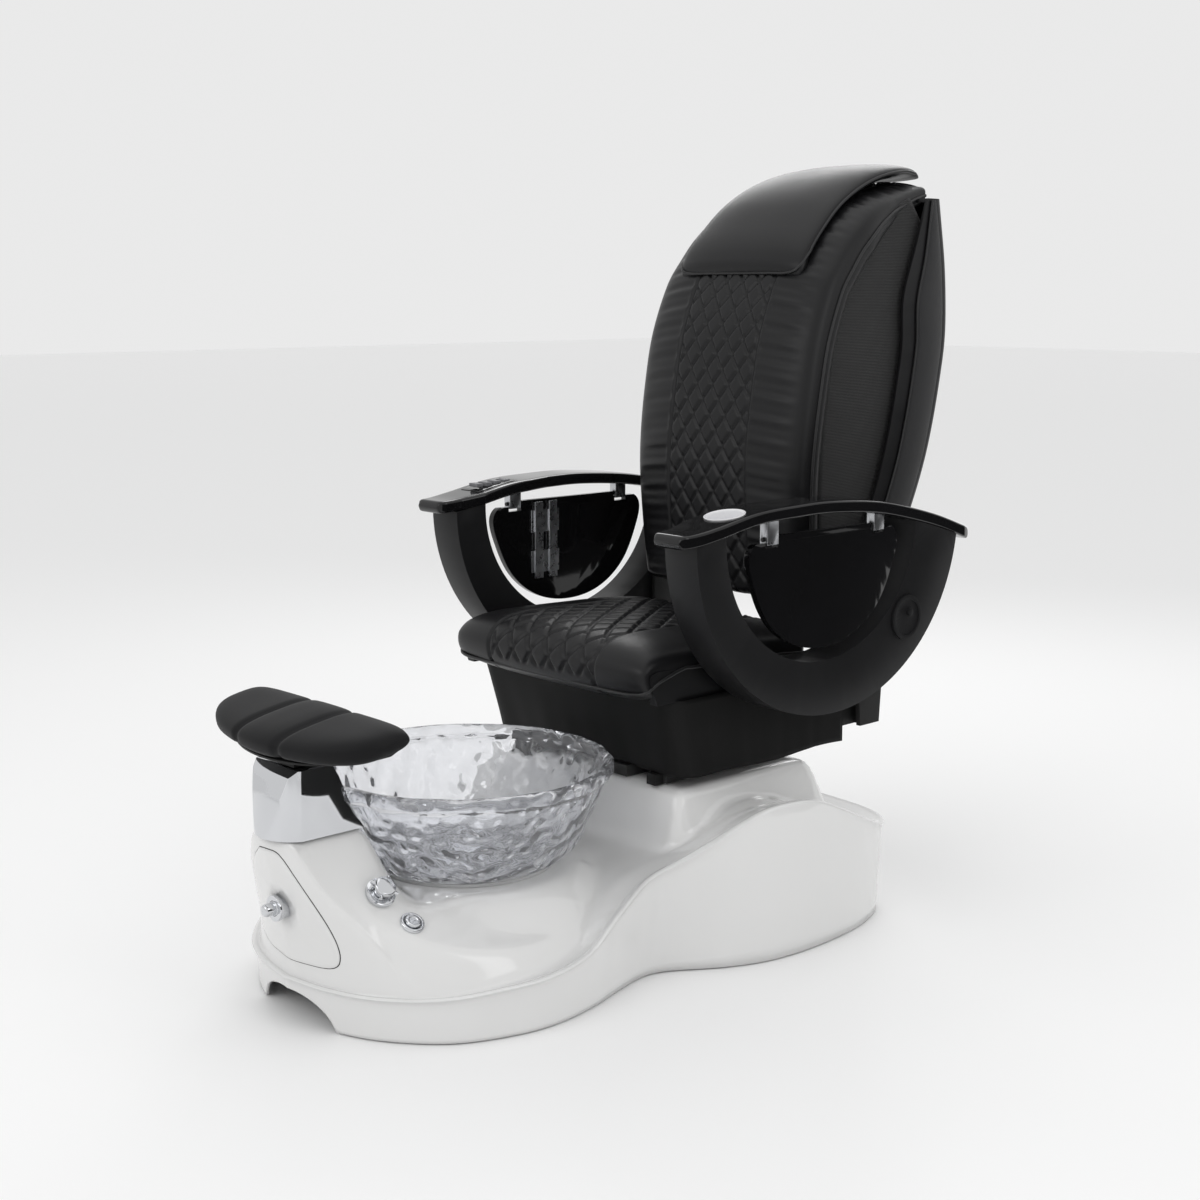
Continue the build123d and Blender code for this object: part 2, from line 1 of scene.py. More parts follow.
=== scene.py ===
import bpy
import math
import numpy as np
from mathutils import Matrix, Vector
from mathutils.bvhtree import BVHTree


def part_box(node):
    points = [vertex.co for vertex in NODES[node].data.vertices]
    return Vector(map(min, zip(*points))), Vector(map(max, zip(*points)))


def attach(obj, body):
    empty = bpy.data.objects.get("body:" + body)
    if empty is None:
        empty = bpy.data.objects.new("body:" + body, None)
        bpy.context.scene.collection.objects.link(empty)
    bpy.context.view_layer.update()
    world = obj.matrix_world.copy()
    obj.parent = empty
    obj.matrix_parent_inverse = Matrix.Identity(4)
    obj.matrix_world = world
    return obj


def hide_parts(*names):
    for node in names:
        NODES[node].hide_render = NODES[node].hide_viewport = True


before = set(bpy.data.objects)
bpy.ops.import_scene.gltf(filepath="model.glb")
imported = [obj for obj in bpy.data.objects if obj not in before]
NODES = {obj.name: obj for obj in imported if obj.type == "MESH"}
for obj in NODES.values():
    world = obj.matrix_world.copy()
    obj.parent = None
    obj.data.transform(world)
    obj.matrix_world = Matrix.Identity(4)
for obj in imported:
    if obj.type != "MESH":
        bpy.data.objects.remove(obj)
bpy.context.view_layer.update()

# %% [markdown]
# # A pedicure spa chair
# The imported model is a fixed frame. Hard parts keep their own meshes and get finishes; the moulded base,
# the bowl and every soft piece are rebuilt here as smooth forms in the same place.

MM = 0.001

# %% [markdown]
# ## Camera
# A 53 mm lens at standing chest height, turned 47.5 degrees round the front left corner and tipped down
# ten degrees. It could be aimed with a track constraint, but plain angles keep it easy to repeat.

# %% Camera
camera = bpy.data.objects.new("camera", bpy.data.cameras.new("camera"))
camera.data.lens = 53.12
camera.data.sensor_width = 36
camera.location = (2.522, -2.3177, 1.2582)
camera.rotation_euler = (math.radians(80), 0, math.radians(47.5))
bpy.context.scene.collection.objects.link(camera)
bpy.context.scene.camera = camera
print("lens", camera.data.lens)

# %% [markdown]
# ## Floor and light
# A pale floor and a bright even world, with a big soft key from the left, a fill from the right and a strip
# behind that draws long highlights on the gloss parts. Small lamps would leave hard hot spots on chrome.

# %% Floor, world and lamps


def mesh_object(name, verts, faces):
    """Puts a mesh of points in metres and faces into the scene."""
    mesh = bpy.data.meshes.new(name)
    mesh.from_pydata([tuple(v) for v in verts], [], faces)
    mesh.update()
    obj = bpy.data.objects.new(name, mesh)
    bpy.context.scene.collection.objects.link(obj)
    return obj


REACH = 30
corners = [(-REACH, -REACH, 0), (REACH, -REACH, 0), (REACH, REACH, 0), (-REACH, REACH, 0)]
floor = mesh_object("floor", corners, [(0, 1, 2, 3)])


def empty_material(name):
    """A new material and its tree with nothing in it yet."""
    mat = bpy.data.materials.new(name)
    mat.use_nodes = True
    mat.node_tree.nodes.clear()
    return mat, mat.node_tree


def stage_paint(name, shade, rough, gloss):
    """One flat paint for what stands round the chair."""
    mat, tree = empty_material(name)
    paint_frame = tree.nodes.new("NodeFrame")
    paint_frame.label = "flat paint"
    paint = tree.nodes.new("ShaderNodeBsdfPrincipled")
    paint.label = "paint"
    output = tree.nodes.new("ShaderNodeOutputMaterial")
    output.label = "to the render"
    for node, spot in ((paint, (-50, 0)), (output, (250, 0))):
        node.location = spot
    paint.parent = paint_frame
    paint.inputs["Base Color"].default_value = (shade, shade, shade, 1)
    paint.inputs["Roughness"].default_value = rough
    paint.inputs["Specular IOR Level"].default_value = gloss
    tree.links.new(paint.outputs["BSDF"], output.inputs["Surface"])
    return mat


floor.data.materials.append(stage_paint("floor_pale", 0.93, 0.3, 0.05))

world = bpy.data.worlds.new("studio")
bpy.context.scene.world = world
world.use_nodes = True
world.node_tree.nodes["Background"].inputs["Color"].default_value = (1, 1, 1, 1)
world.node_tree.nodes["Background"].inputs["Strength"].default_value = 0.82


def area_lamp(name, place, target, size, power):
    """A soft oblong lamp at a place, turned to a target."""
    lamp = bpy.data.lights.new(name, "AREA")
    lamp.energy = power
    lamp.shape = "RECTANGLE"
    lamp.size, lamp.size_y = size
    obj = bpy.data.objects.new(name, lamp)
    obj.location = place
    obj.rotation_euler = (Vector(target) - Vector(place)).to_track_quat("-Z", "Y").to_euler()
    bpy.context.scene.collection.objects.link(obj)


area_lamp("key", (0.2, -3.6, 2.9), (0, 0, 0.7), (2.4, 1.6), 22)
area_lamp("fill", (3.6, 0.4, 2.0), (0, 0, 0.7), (1.2, 2.4), 12)
area_lamp("back_strip", (-1.6, 2.6, 2.6), (0, 0.2, 0.9), (3.0, 0.7), 22)
area_lamp("top", (0, 0, 3.6), (0, 0, 0.5), (2.5, 2.5), 10)
bpy.context.scene.view_settings.view_transform = "Standard"
print("lamps", len(bpy.data.lights))

# %% [markdown]
# ## Dark card
# Chrome and lacquer only look like themselves when they have something dark to mirror. A photographer stands
# a black card beside the object, and so does this cell. It could be a dark patch in the world, but a card can
# be placed. Only glossy rays see it, so it throws no shadow and never shows.

# %% Dark card
CARD_LINE = [(2.1, -1.0, 0.9), (1.0, 0.88, 0.9), (1.0, 2.2, 1.5)]
CARD_FOOT = 0.02
card_points = [(x, y, CARD_FOOT) for x, y, _ in CARD_LINE] + CARD_LINE
card = mesh_object("dark_card", card_points, [(0, 1, 4, 3), (1, 2, 5, 4)])
card.data.materials.append(stage_paint("card_black", 0.01, 1.0, 0.5))
card.visible_camera = card.visible_diffuse = card.visible_shadow = card.visible_transmission = False
print("card", len(card_points), "corners")

# %% [markdown]
# ## Finishes
# Leather, vinyl, foam skin, moulded plastic, gelcoat and lacquer have one make-up: a colour that drifts a
# little, a grain that bumps the surface and a roughness that follows it. They are one function with its
# amounts as arguments. Metals, woven cloth and the hammered glass each have their own.

# %% Grained finishes


def grained(name, dark, light, rough, cell, bump, drift=6.0, coat=0.0, sheen=0.0, smudge=0.08, gloss=0.5):
    """Cellular grain over a slow drift of colour; cell is the grain's size in metres."""
    mat, tree = empty_material(name)
    shader = tree.nodes.new("ShaderNodeBsdfPrincipled")
    shader.label = "skin of the piece"
    output = tree.nodes.new("ShaderNodeOutputMaterial")
    output.label = "to the render"
    colour_frame = tree.nodes.new("NodeFrame")
    colour_frame.label = "colour drift"
    grain_frame = tree.nodes.new("NodeFrame")
    grain_frame.label = "grain"
    place = tree.nodes.new("ShaderNodeTexCoord")
    place.label = "place on the object"
    slow = tree.nodes.new("ShaderNodeTexNoise")
    slow.label = "slow drift"
    mix = tree.nodes.new("ShaderNodeMixRGB")
    mix.label = "dark to light"
    spread = tree.nodes.new("ShaderNodeMapRange")
    spread.label = "roughness drift"
    cells = tree.nodes.new("ShaderNodeTexVoronoi")
    cells.label = "grain cells"
    fine = tree.nodes.new("ShaderNodeTexNoise")
    fine.label = "fine tooth"
    both = tree.nodes.new("ShaderNodeMixRGB")
    both.label = "cells and tooth"
    relief = tree.nodes.new("ShaderNodeBump")
    relief.label = "grain relief"
    for node, spot in ((shader, (-50, 0)), (output, (250, 0)), (place, (-1100, 0)), (slow, (-850, 250)),
                       (mix, (-600, 250)), (spread, (-600, 20)), (cells, (-850, -200)),
                       (fine, (-850, -450)), (both, (-600, -300)), (relief, (-350, -300))):
        node.location = spot
    for node in (slow, mix, spread):
        node.parent = colour_frame
    for node in (cells, fine, both, relief):
        node.parent = grain_frame

    slow.inputs["Scale"].default_value = drift
    slow.inputs["Detail"].default_value = 4
    mix.inputs[1].default_value = (*dark, 1)
    mix.inputs[2].default_value = (*light, 1)
    spread.inputs["To Min"].default_value = max(0.02, rough - smudge)
    spread.inputs["To Max"].default_value = rough + smudge
    cells.feature = "DISTANCE_TO_EDGE"
    cells.inputs["Scale"].default_value = 1 / cell
    fine.inputs["Scale"].default_value = 2.5 / cell
    both.inputs[0].default_value = 0.4
    relief.inputs["Strength"].default_value = bump
    relief.inputs["Distance"].default_value = cell * 0.3
    shader.inputs["Coat Weight"].default_value = coat
    shader.inputs["Coat Roughness"].default_value = 0.05
    shader.inputs["Sheen Weight"].default_value = sheen
    shader.inputs["Specular IOR Level"].default_value = gloss

    tree.links.new(place.outputs["Object"], slow.inputs["Vector"])
    tree.links.new(place.outputs["Object"], cells.inputs["Vector"])
    tree.links.new(place.outputs["Object"], fine.inputs["Vector"])
    tree.links.new(slow.outputs["Fac"], mix.inputs[0])
    tree.links.new(slow.outputs["Fac"], spread.inputs["Value"])
    tree.links.new(cells.outputs["Distance"], both.inputs[1])
    tree.links.new(fine.outputs["Fac"], both.inputs[2])
    tree.links.new(both.outputs[0], relief.inputs["Height"])
    tree.links.new(mix.outputs[0], shader.inputs["Base Color"])
    tree.links.new(spread.outputs["Result"], shader.inputs["Roughness"])
    tree.links.new(relief.outputs["Normal"], shader.inputs["Normal"])
    tree.links.new(shader.outputs["BSDF"], output.inputs["Surface"])
    return mat


leather = grained("black_leather", (0.0045, 0.0045, 0.005), (0.009, 0.009, 0.010), 0.38, 0.0016, 0.3,
                  gloss=0.28)
thread = grained("piping_leather", (0.006, 0.006, 0.0065), (0.014, 0.014, 0.015), 0.36, 0.0012, 0.3,
                 gloss=0.4)
vinyl = grained("skirt_vinyl", (0.004, 0.004, 0.004), (0.009, 0.009, 0.009), 0.6, 0.002, 0.3, gloss=0.16)
foam_skin = grained("footrest_skin", (0.005, 0.005, 0.0055), (0.010, 0.010, 0.011), 0.6, 0.0012, 0.4,
                    sheen=0.05, gloss=0.14)
arm_plastic = grained("arm_plastic", (0.007, 0.007, 0.0075), (0.012, 0.012, 0.013), 0.42, 0.0009, 0.3,
                      gloss=0.24)
dark_plastic = grained("housing_plastic", (0.02, 0.02, 0.02), (0.035, 0.035, 0.035), 0.55, 0.0012, 0.2,
                       gloss=0.3)
rubber = grained("rubber", (0.015, 0.015, 0.015), (0.03, 0.03, 0.03), 0.8, 0.002, 0.3)
white_rubber = grained("white_rubber", (0.5, 0.5, 0.5), (0.62, 0.62, 0.62), 0.5, 0.002, 0.1)
lacquer = grained("black_lacquer", (0.004, 0.004, 0.004), (0.007, 0.007, 0.008), 0.07, 0.02, 0.01, coat=0.2,
                  smudge=0.03, gloss=0.3)
gelcoat = grained("white_gelcoat", (0.71, 0.71, 0.705), (0.79, 0.79, 0.785), 0.12, 0.05, 0.012, 2.0, coat=0.5,
                  smudge=0.03)
cup_white = grained("cup_white", (0.70, 0.70, 0.72), (0.82, 0.82, 0.83), 0.3, 0.01, 0.02)
key_grey = grained("soft_keys", (0.10, 0.10, 0.11), (0.20, 0.20, 0.21), 0.5, 0.0015, 0.2)
powder = grained("black_powder_coat", (0.008, 0.008, 0.008), (0.018, 0.018, 0.018), 0.5, 0.0015, 0.4,
                 gloss=0.2)
print("grained finishes and stage paints", len(bpy.data.materials))

# %% [markdown]
# ## Metals
# The tower cap and the controls are mirror chrome, and the brackets are duller plated steel. A plain metal
# with one roughness looks like a computer's idea of chrome, so a soft noise varies the polish and ripples
# the surface a little. An image of scratches would do it too, but would need unwrapping.

# %% Metals


def metal(name, tint, rough, streak, bump):
    """Plated or brushed metal: fine streaks in the roughness and a faint ripple."""
    mat, tree = empty_material(name)
    polish_frame = tree.nodes.new("NodeFrame")
    polish_frame.label = "polish and ripple"
    place = tree.nodes.new("ShaderNodeTexCoord")
    place.label = "place on the object"
    streaks = tree.nodes.new("ShaderNodeTexNoise")
    streaks.label = "polish marks"
    spread = tree.nodes.new("ShaderNodeMapRange")
    spread.label = "roughness"
    relief = tree.nodes.new("ShaderNodeBump")
    relief.label = "ripple"
    shader = tree.nodes.new("ShaderNodeBsdfPrincipled")
    shader.label = "plated metal"
    output = tree.nodes.new("ShaderNodeOutputMaterial")
    output.label = "to the render"
    for node, spot in ((place, (-900, 0)), (streaks, (-650, 0)), (spread, (-400, 80)),
                       (relief, (-400, -200)), (shader, (-50, 0)), (output, (250, 0))):
        node.location = spot
    for node in (streaks, spread, relief):
        node.parent = polish_frame

    streaks.inputs["Scale"].default_value = streak
    streaks.inputs["Detail"].default_value = 3
    spread.inputs["To Min"].default_value = rough * 0.6
    spread.inputs["To Max"].default_value = rough * 1.5
    relief.inputs["Strength"].default_value = bump
    relief.inputs["Distance"].default_value = 0.001
    shader.inputs["Base Color"].default_value = (*tint, 1)
    shader.inputs["Metallic"].default_value = 1

    tree.links.new(place.outputs["Object"], streaks.inputs["Vector"])
    tree.links.new(streaks.outputs["Fac"], spread.inputs["Value"])
    tree.links.new(streaks.outputs["Fac"], relief.inputs["Height"])
    tree.links.new(spread.outputs["Result"], shader.inputs["Roughness"])
    tree.links.new(relief.outputs["Normal"], shader.inputs["Normal"])
    tree.links.new(shader.outputs["BSDF"], output.inputs["Surface"])
    return mat


chrome = metal("mirror_chrome", (0.66, 0.67, 0.69), 0.05, 12, 0.02)
steel = metal("plated_steel", (0.55, 0.56, 0.58), 0.28, 60, 0.1)
print("metals", chrome.name, steel.name)

# %% [markdown]
# ## Woven cloth
# The back's sides are covered in cloth, with an open mesh inset behind the cushion. Two sets of waves at
# right angles, multiplied, give threads over and under, and the same pattern lifts the surface. Real yarn
# could be modelled, but at this distance only its tone and its tooth are seen.

# %% Woven cloth


def woven(name, dark, light, pitch):
    """Threads up and across; pitch is the distance between threads in metres."""
    mat, tree = empty_material(name)
    weave_frame = tree.nodes.new("NodeFrame")
    weave_frame.label = "weave"
    place = tree.nodes.new("ShaderNodeTexCoord")
    place.label = "place on the object"
    warp = tree.nodes.new("ShaderNodeTexWave")
    warp.label = "threads up"
    weft = tree.nodes.new("ShaderNodeTexWave")
    weft.label = "threads across"
    cross = tree.nodes.new("ShaderNodeMixRGB")
    cross.label = "over and under"
    mix = tree.nodes.new("ShaderNodeMixRGB")
    mix.label = "thread colour"
    relief = tree.nodes.new("ShaderNodeBump")
    relief.label = "thread relief"
    shader = tree.nodes.new("ShaderNodeBsdfPrincipled")
    shader.label = "cloth"
    output = tree.nodes.new("ShaderNodeOutputMaterial")
    output.label = "to the render"
    for node, spot in ((place, (-1000, 0)), (warp, (-750, 150)), (weft, (-750, -150)),
                       (cross, (-500, 0)), (mix, (-250, 120)), (relief, (-250, -150)), (shader, (0, 0)),
                       (output, (300, 0))):
        node.location = spot
    for node in (warp, weft, cross):
        node.parent = weave_frame

    warp.bands_direction = "Y"
    weft.bands_direction = "Z"
    warp.inputs["Scale"].default_value = 0.31 / pitch
    weft.inputs["Scale"].default_value = 0.31 / pitch
    cross.blend_type = "MULTIPLY"
    cross.inputs[0].default_value = 1
    mix.inputs[1].default_value = (*dark, 1)
    mix.inputs[2].default_value = (*light, 1)
    relief.inputs["Strength"].default_value = 0.82
    relief.inputs["Distance"].default_value = pitch * 0.4
    shader.inputs["Roughness"].default_value = 0.75
    shader.inputs["Sheen Weight"].default_value = 0.1

    tree.links.new(place.outputs["Object"], warp.inputs["Vector"])
    tree.links.new(place.outputs["Object"], weft.inputs["Vector"])
    tree.links.new(warp.outputs["Color"], cross.inputs[1])
    tree.links.new(weft.outputs["Color"], cross.inputs[2])
    tree.links.new(cross.outputs[0], mix.inputs[0])
    tree.links.new(cross.outputs[0], relief.inputs["Height"])
    tree.links.new(mix.outputs[0], shader.inputs["Base Color"])
    tree.links.new(relief.outputs["Normal"], shader.inputs["Normal"])
    tree.links.new(shader.outputs["BSDF"], output.inputs["Surface"])
    return mat


side_cloth = woven("side_cloth", (0.010, 0.010, 0.011), (0.026, 0.026, 0.028), 0.0016)
mesh_cloth = woven("mesh_cloth", (0.004, 0.004, 0.004), (0.016, 0.016, 0.017), 0.003)
print("cloths", side_cloth.name, mesh_cloth.name)

# %% [markdown]
# ## Hammered glass
# The bowl is clear glass with hammer marks all over its outside. The large dimples are in the mesh further
# on. This finish adds the finer ones as a bump from smooth cells, since a mesh that fine would be heavy.

# %% Hammered glass
glass, glass_tree = empty_material("hammered_glass")
dimple_frame = glass_tree.nodes.new("NodeFrame")
dimple_frame.label = "dimples"
glass_place = glass_tree.nodes.new("ShaderNodeTexCoord")
glass_place.label = "place on the object"
glass_cells = glass_tree.nodes.new("ShaderNodeTexVoronoi")
glass_cells.label = "hammer marks"
glass_relief = glass_tree.nodes.new("ShaderNodeBump")
glass_relief.label = "dimple depth"
glass_shader = glass_tree.nodes.new("ShaderNodeBsdfPrincipled")
glass_shader.label = "clear glass"
glass_output = glass_tree.nodes.new("ShaderNodeOutputMaterial")
glass_output.label = "to the render"
for node, spot in ((glass_place, (-900, 0)), (glass_cells, (-650, 0)), (glass_relief, (-350, -150)),
                   (glass_shader, (-50, 0)), (glass_output, (250, 0))):
    node.location = spot
for node in (glass_cells, glass_relief):
    node.parent = dimple_frame

glass_cells.feature = "SMOOTH_F1"
glass_cells.inputs["Scale"].default_value = 34
glass_relief.inputs["Strength"].default_value = 0.9
glass_relief.inputs["Distance"].default_value = 0.012
glass_shader.inputs["Base Color"].default_value = (0.90, 0.91, 0.94, 1)
glass_shader.inputs["Transmission Weight"].default_value = 0.92
glass_shader.inputs["Roughness"].default_value = 0.03
glass_shader.inputs["IOR"].default_value = 1.45

glass_tree.links.new(glass_place.outputs["Object"], glass_cells.inputs["Vector"])
glass_tree.links.new(glass_cells.outputs["Distance"], glass_relief.inputs["Height"])
glass_tree.links.new(glass_relief.outputs["Normal"], glass_shader.inputs["Normal"])
glass_tree.links.new(glass_shader.outputs["BSDF"], glass_output.inputs["Surface"])
print("materials", len(bpy.data.materials))

# %% [markdown]
# ## Finishes on the hard parts
# The hard parts already have their true shape, so they only get a finish, smooth shading and a small
# rounded edge. Modelling them again would risk moving them off the joints.

# %% Hard parts
HARD = {
    chrome: ["tower_cap", "spray_socket", "spray_hose", "diverter_valve", "drain_fitting"],
    steel: ["footrest_sleeve", "arm_pivot_pins", "recline_rod", "massage_rails",
            "tray_left_brackets", "tray_right_brackets"],
    powder: ["base_frame", "slide_rails", "footrest_post", "footrest_plate", "seat_frame", "recline_actuator",
             "back_frame"],
    dark_plastic: ["drain_pump", "air_blower", "control_box", "power_inlet", "seat_drive", "seat_carriages",
                   "massage_carriage"],
    rubber: ["leveling_feet", "massage_rollers"],
    white_rubber: ["bowl_gasket"],
    arm_plastic: ["arm_left_housing", "arm_right_housing", "arm_left_pivot_cap", "arm_right_pivot_cap",
                  "back_shell"],
    lacquer: ["tray_left", "tray_right", "remote_panel"],
    key_grey: ["button_power", "button_recline", "button_slide", "button_massage"],
    vinyl: ["seat_pan"],
}
PLAIN_EDGE = 0.6
EDGE = {"arm_left_housing": 5, "arm_right_housing": 5, "tower_cap": 7, "back_shell": 3, "tray_left": 2.5,
        "tray_right": 2.5, "arm_left_pivot_cap": 1.5, "arm_right_pivot_cap": 1.5}


def smooth(mesh):
    """Shades every face of a mesh smooth."""
    mesh.polygons.foreach_set("use_smooth", [True] * len(mesh.polygons))


def round_edges(obj, width):
    """Rounds what is sharper than 35 degrees, by `width` millimetres."""
    bevel = obj.modifiers.new("rounded_edges", "BEVEL")
    bevel.width = width * MM
    bevel.segments = 3
    bevel.limit_method = "ANGLE"
    bevel.angle_limit = math.radians(35)
    bevel.harden_normals = True


for finish, names in HARD.items():
    for node in names:
        part = NODES[node]
        part.data.materials.clear()
        part.data.materials.append(finish)
        smooth(part.data)
        weld = part.modifiers.new("weld", "WELD")
        weld.merge_threshold = 0.00002
        round_edges(part, EDGE.get(node, PLAIN_EDGE))
print("hard parts", sum(len(v) for v in HARD.values()))

# %% [markdown]
# ## Helpers for new pieces
# Nearly every new piece is a grid of points joined by four-sided faces, as in a lofted or a lathed form. One
# call makes the mesh and gives it its finish, the moving body that it rides on and its material slot. Points
# are worked out in millimetres along smooth curves and scaled to metres when the mesh is made.

# %% Mesh helpers


def add_piece(name, verts, faces, finish, body, thick=0.0):
    """Makes a piece from points in metres; thick is a wall in millimetres, laid inward."""
    obj = mesh_object(name, verts, faces)
    obj.data.materials.append(finish)
    smooth(obj.data)
    if thick:
        wall = obj.modifiers.new("wall", "SOLIDIFY")
        wall.thickness = thick * MM
        wall.offset = -1
    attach(obj, body)
    return obj


def quads(rows, cols, closed=False):
    """Faces of a grid of rows by cols points; closed joins the last column to the first."""
    faces = []
    for i in range(rows - 1):
        for j in range(cols if closed else cols - 1):
            k = (j + 1) % cols
            faces.append((i * cols + j, i * cols + k, (i + 1) * cols + k, (i + 1) * cols + j))
    return faces


def end_caps(rows, cols):
    """The two flat ends of a closed grid."""
    return [tuple(range(cols))[::-1], tuple((rows - 1) * cols + j for j in range(cols))]


def crisp_edges(obj):
    """Keeps what is sharper than 50 degrees sharp in the shading."""
    obj.modifiers.new("crisp", "EDGE_SPLIT").split_angle = math.radians(50)


def squared(wave, power):
    """Flattens a sine or cosine, so that a circle turns into a rounded oblong."""
    return np.sign(wave) * np.abs(wave) ** power


def run_along(points):
    """Distance along a line at each of its points."""
    return np.r_[0, np.cumsum(np.linalg.norm(np.diff(points, axis=0), axis=1))]


def smoothstep(a, b, t):
    """0 before a, 1 after b and a soft S between them."""
    u = np.clip((t - a) / (b - a), 0, 1)
    return u * u * (3 - 2 * u)


def resample(points, count):
    """A smooth line through a few points, as evenly spaced points."""
    p = np.array(points, float)
    padded = np.vstack([2 * p[0] - p[1], p, 2 * p[-1] - p[-2]])
    out = []
    for i in range(len(p) - 1):
        a, b, c, d = padded[i:i + 4]
        for t in np.linspace(0, 1, 24, endpoint=False):
            out.append(0.5 * (2 * b + (c - a) * t + (2 * a - 5 * b + 4 * c - d) * t * t
                              + (3 * b - a - 3 * c + d) * t ** 3))
    out.append(p[-1])
    out = np.array(out)
    dist = run_along(out)
    at = np.linspace(0, dist[-1], count)
    return np.stack([np.interp(at, dist, out[:, k]) for k in range(out.shape[1])], 1)


def tube(name, points, radius, finish, body, closed=False):
    """A round welt or rod along a line of points, in millimetres."""
    curve = bpy.data.curves.new(name, "CURVE")
    curve.dimensions = "3D"
    curve.bevel_depth = radius * MM
    curve.bevel_resolution = 3
    curve.use_fill_caps = True
    spline = curve.splines.new("POLY")
    spline.points.add(len(points) - 1)
    for point, at in zip(spline.points, points):
        point.co = (at[0] * MM, at[1] * MM, at[2] * MM, 1)
    spline.use_cyclic_u = closed
    curve.materials.append(finish)
    obj = bpy.data.objects.new(name, curve)
    bpy.context.scene.collection.objects.link(obj)
    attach(obj, body)
    return obj


print("helpers ready")

# %% [markdown]
# ## The moulded base
# The base is one smooth skin. Rings run from the floor up the skirt, over its rolled edge, across the
# ledge and in towards the middle, and a height rule gives the nose, the bowl seat and the pedestal.
# Sculpting or remeshing the plain solid would lose the soft hollows between them.

# %% Base skin
HALF_PLAN = [
    (0, -757), (105, -737), (204, -692), (295, -607), (342, -496), (352, -406), (339, -316),
    (319, -246), (300, -168), (304, -126), (328, -83), (366, -24), (399, 55), (413, 145),
    (411, 259), (394, 363), (352, 458), (276, 515), (143, 539), (0, 544),
]
BAND_Y = [-800, -674, -536, -444, -340, -278, -178, -96, -31, 42, 109, 180, 258, 345, 431, 560]
BAND_Z = [82, 83, 93, 98, 112, 140, 183, 217, 260, 300, 309, 300, 268, 228, 196, 180]
BELL_X = [0, 67, 78, 90, 114, 145, 180, 247, 313, 420]
BELL_Z = [337, 336, 312, 290, 256, 220, 190, 150, 122, 100]
BOWL_Y = -349
SPRAY_AT = (12.0, 212.0)

half = resample(HALF_PLAN, 170)
plan = np.vstack([half, (half * [-1, 1])[-2:0:-1]])
step = np.roll(plan, -1, 0) - np.roll(plan, 1, 0)
step /= np.linalg.norm(step, axis=1)[:, None]
inward = np.stack([-step[:, 1], step[:, 0]], 1)
band_curve = resample(list(zip(BAND_Y, BAND_Z)), 200)
print("outline", len(plan), "points")


def band_height(y):
    """Height of the skirt's rolled edge along the base."""
    return np.interp(y, band_curve[:, 0], band_curve[:, 1])


def base_height(x, y, depth):
    """Height of the skin at a place and its distance in from the outline."""
    edge = band_height(y)
    bell = np.interp(np.abs(x), BELL_X, BELL_Z)
    r = np.hypot(x, y - BOWL_Y)
    behind_nose = smoothstep(-628, -552, y)
    nose = bell * (1 - behind_nose) + np.minimum(bell, 204) * behind_nose
    nose = np.where(y < BOWL_Y, nose, np.minimum(bell, 204) * (1 - smoothstep(-200, -60, y)))
    pod = 204 - 95 * smoothstep(205, 315, r)
    side = 1 - smoothstep(262, 306, np.abs(x))
    front = smoothstep(-88, -50, y)
    rear = 1 - 0.5 * smoothstep(312, 425, y) - 0.5 * smoothstep(405, 470, y)
    ped = 328 * side * front * np.clip(rear, 0, 1)
    ledge = edge - (22 * smoothstep(-250, 60, y) - 20 * smoothstep(230, 430, y)) * smoothstep(20, 90, depth)
    on_nose = (1 - smoothstep(-690, -560, y)) * (1 - smoothstep(150, 260, np.abs(x)))
    rise = smoothstep(26, 74, depth) * (1 - on_nose) + smoothstep(16, 36, depth) * on_nose
    inside = np.maximum(np.maximum(nose, pod), np.maximum(ped, ledge))
    dip = 5 * smoothstep(8, 24, depth) * (1 - rise) * (1 - 0.7 * smoothstep(60, 300, y))
    return ledge * (1 - rise) + inside * rise - dip


# %% Rings of the skin
TOE_HALF = 112
TOE_HIGH = 54
SKIN_WALL = 6
rings = []
skirt_rows = 12
for row in range(skirt_rows):
    t = row / (skirt_rows - 1)
    top = band_height(plan[:, 1]) - 7
    arch = 3 + TOE_HIGH * np.sqrt(np.clip(1 - (plan[:, 0] / TOE_HALF) ** 2, 0, 1)) * (plan[:, 1] < -600)
    z = arch + (top - arch) * t
    p = plan + inward * (13 * (1 - z / 320))[:, None]
    rings.append(np.column_stack([p, z]))
for depth, drop in ((1.2, 3.5), (3.2, 1.2), (6.5, 0)):
    p = plan + inward * depth
    rings.append(np.column_stack([p, band_height(plan[:, 1]) - drop]))
spine = np.column_stack([np.zeros(len(plan)), np.clip(plan[:, 1], -610, 400)])
reach = np.linalg.norm(spine - plan, axis=1)
for depth in list(np.arange(10, 60, 1.6)) + list(range(60, 100, 4)) + list(range(104, 420, 6)):
    k = np.minimum(depth / reach, 0.985 + depth * 0.00002)
    p = plan + (spine - plan) * k[:, None]
    z = base_height(p[:, 0], p[:, 1], np.minimum(depth, reach * 0.985))
    rings.append(np.column_stack([p, z]))
rings = np.array(rings)
lean = 58 * smoothstep(95, 330, rings[..., 2]) * (1 - smoothstep(-735, -600, rings[..., 1]))
rings[..., 1] -= lean
rows, cols = rings.shape[:2]
skin = rings.copy()
for _ in range(7):
    around = (np.roll(skin, 1, 1) + np.roll(skin, -1, 1)) / 2
    across = skin.copy()
    across[1:-1] = (skin[:-2] + skin[2:]) / 2
    skin[skirt_rows + 4:-1] = (0.5 * skin + 0.25 * around + 0.25 * across)[skirt_rows + 4:-1]

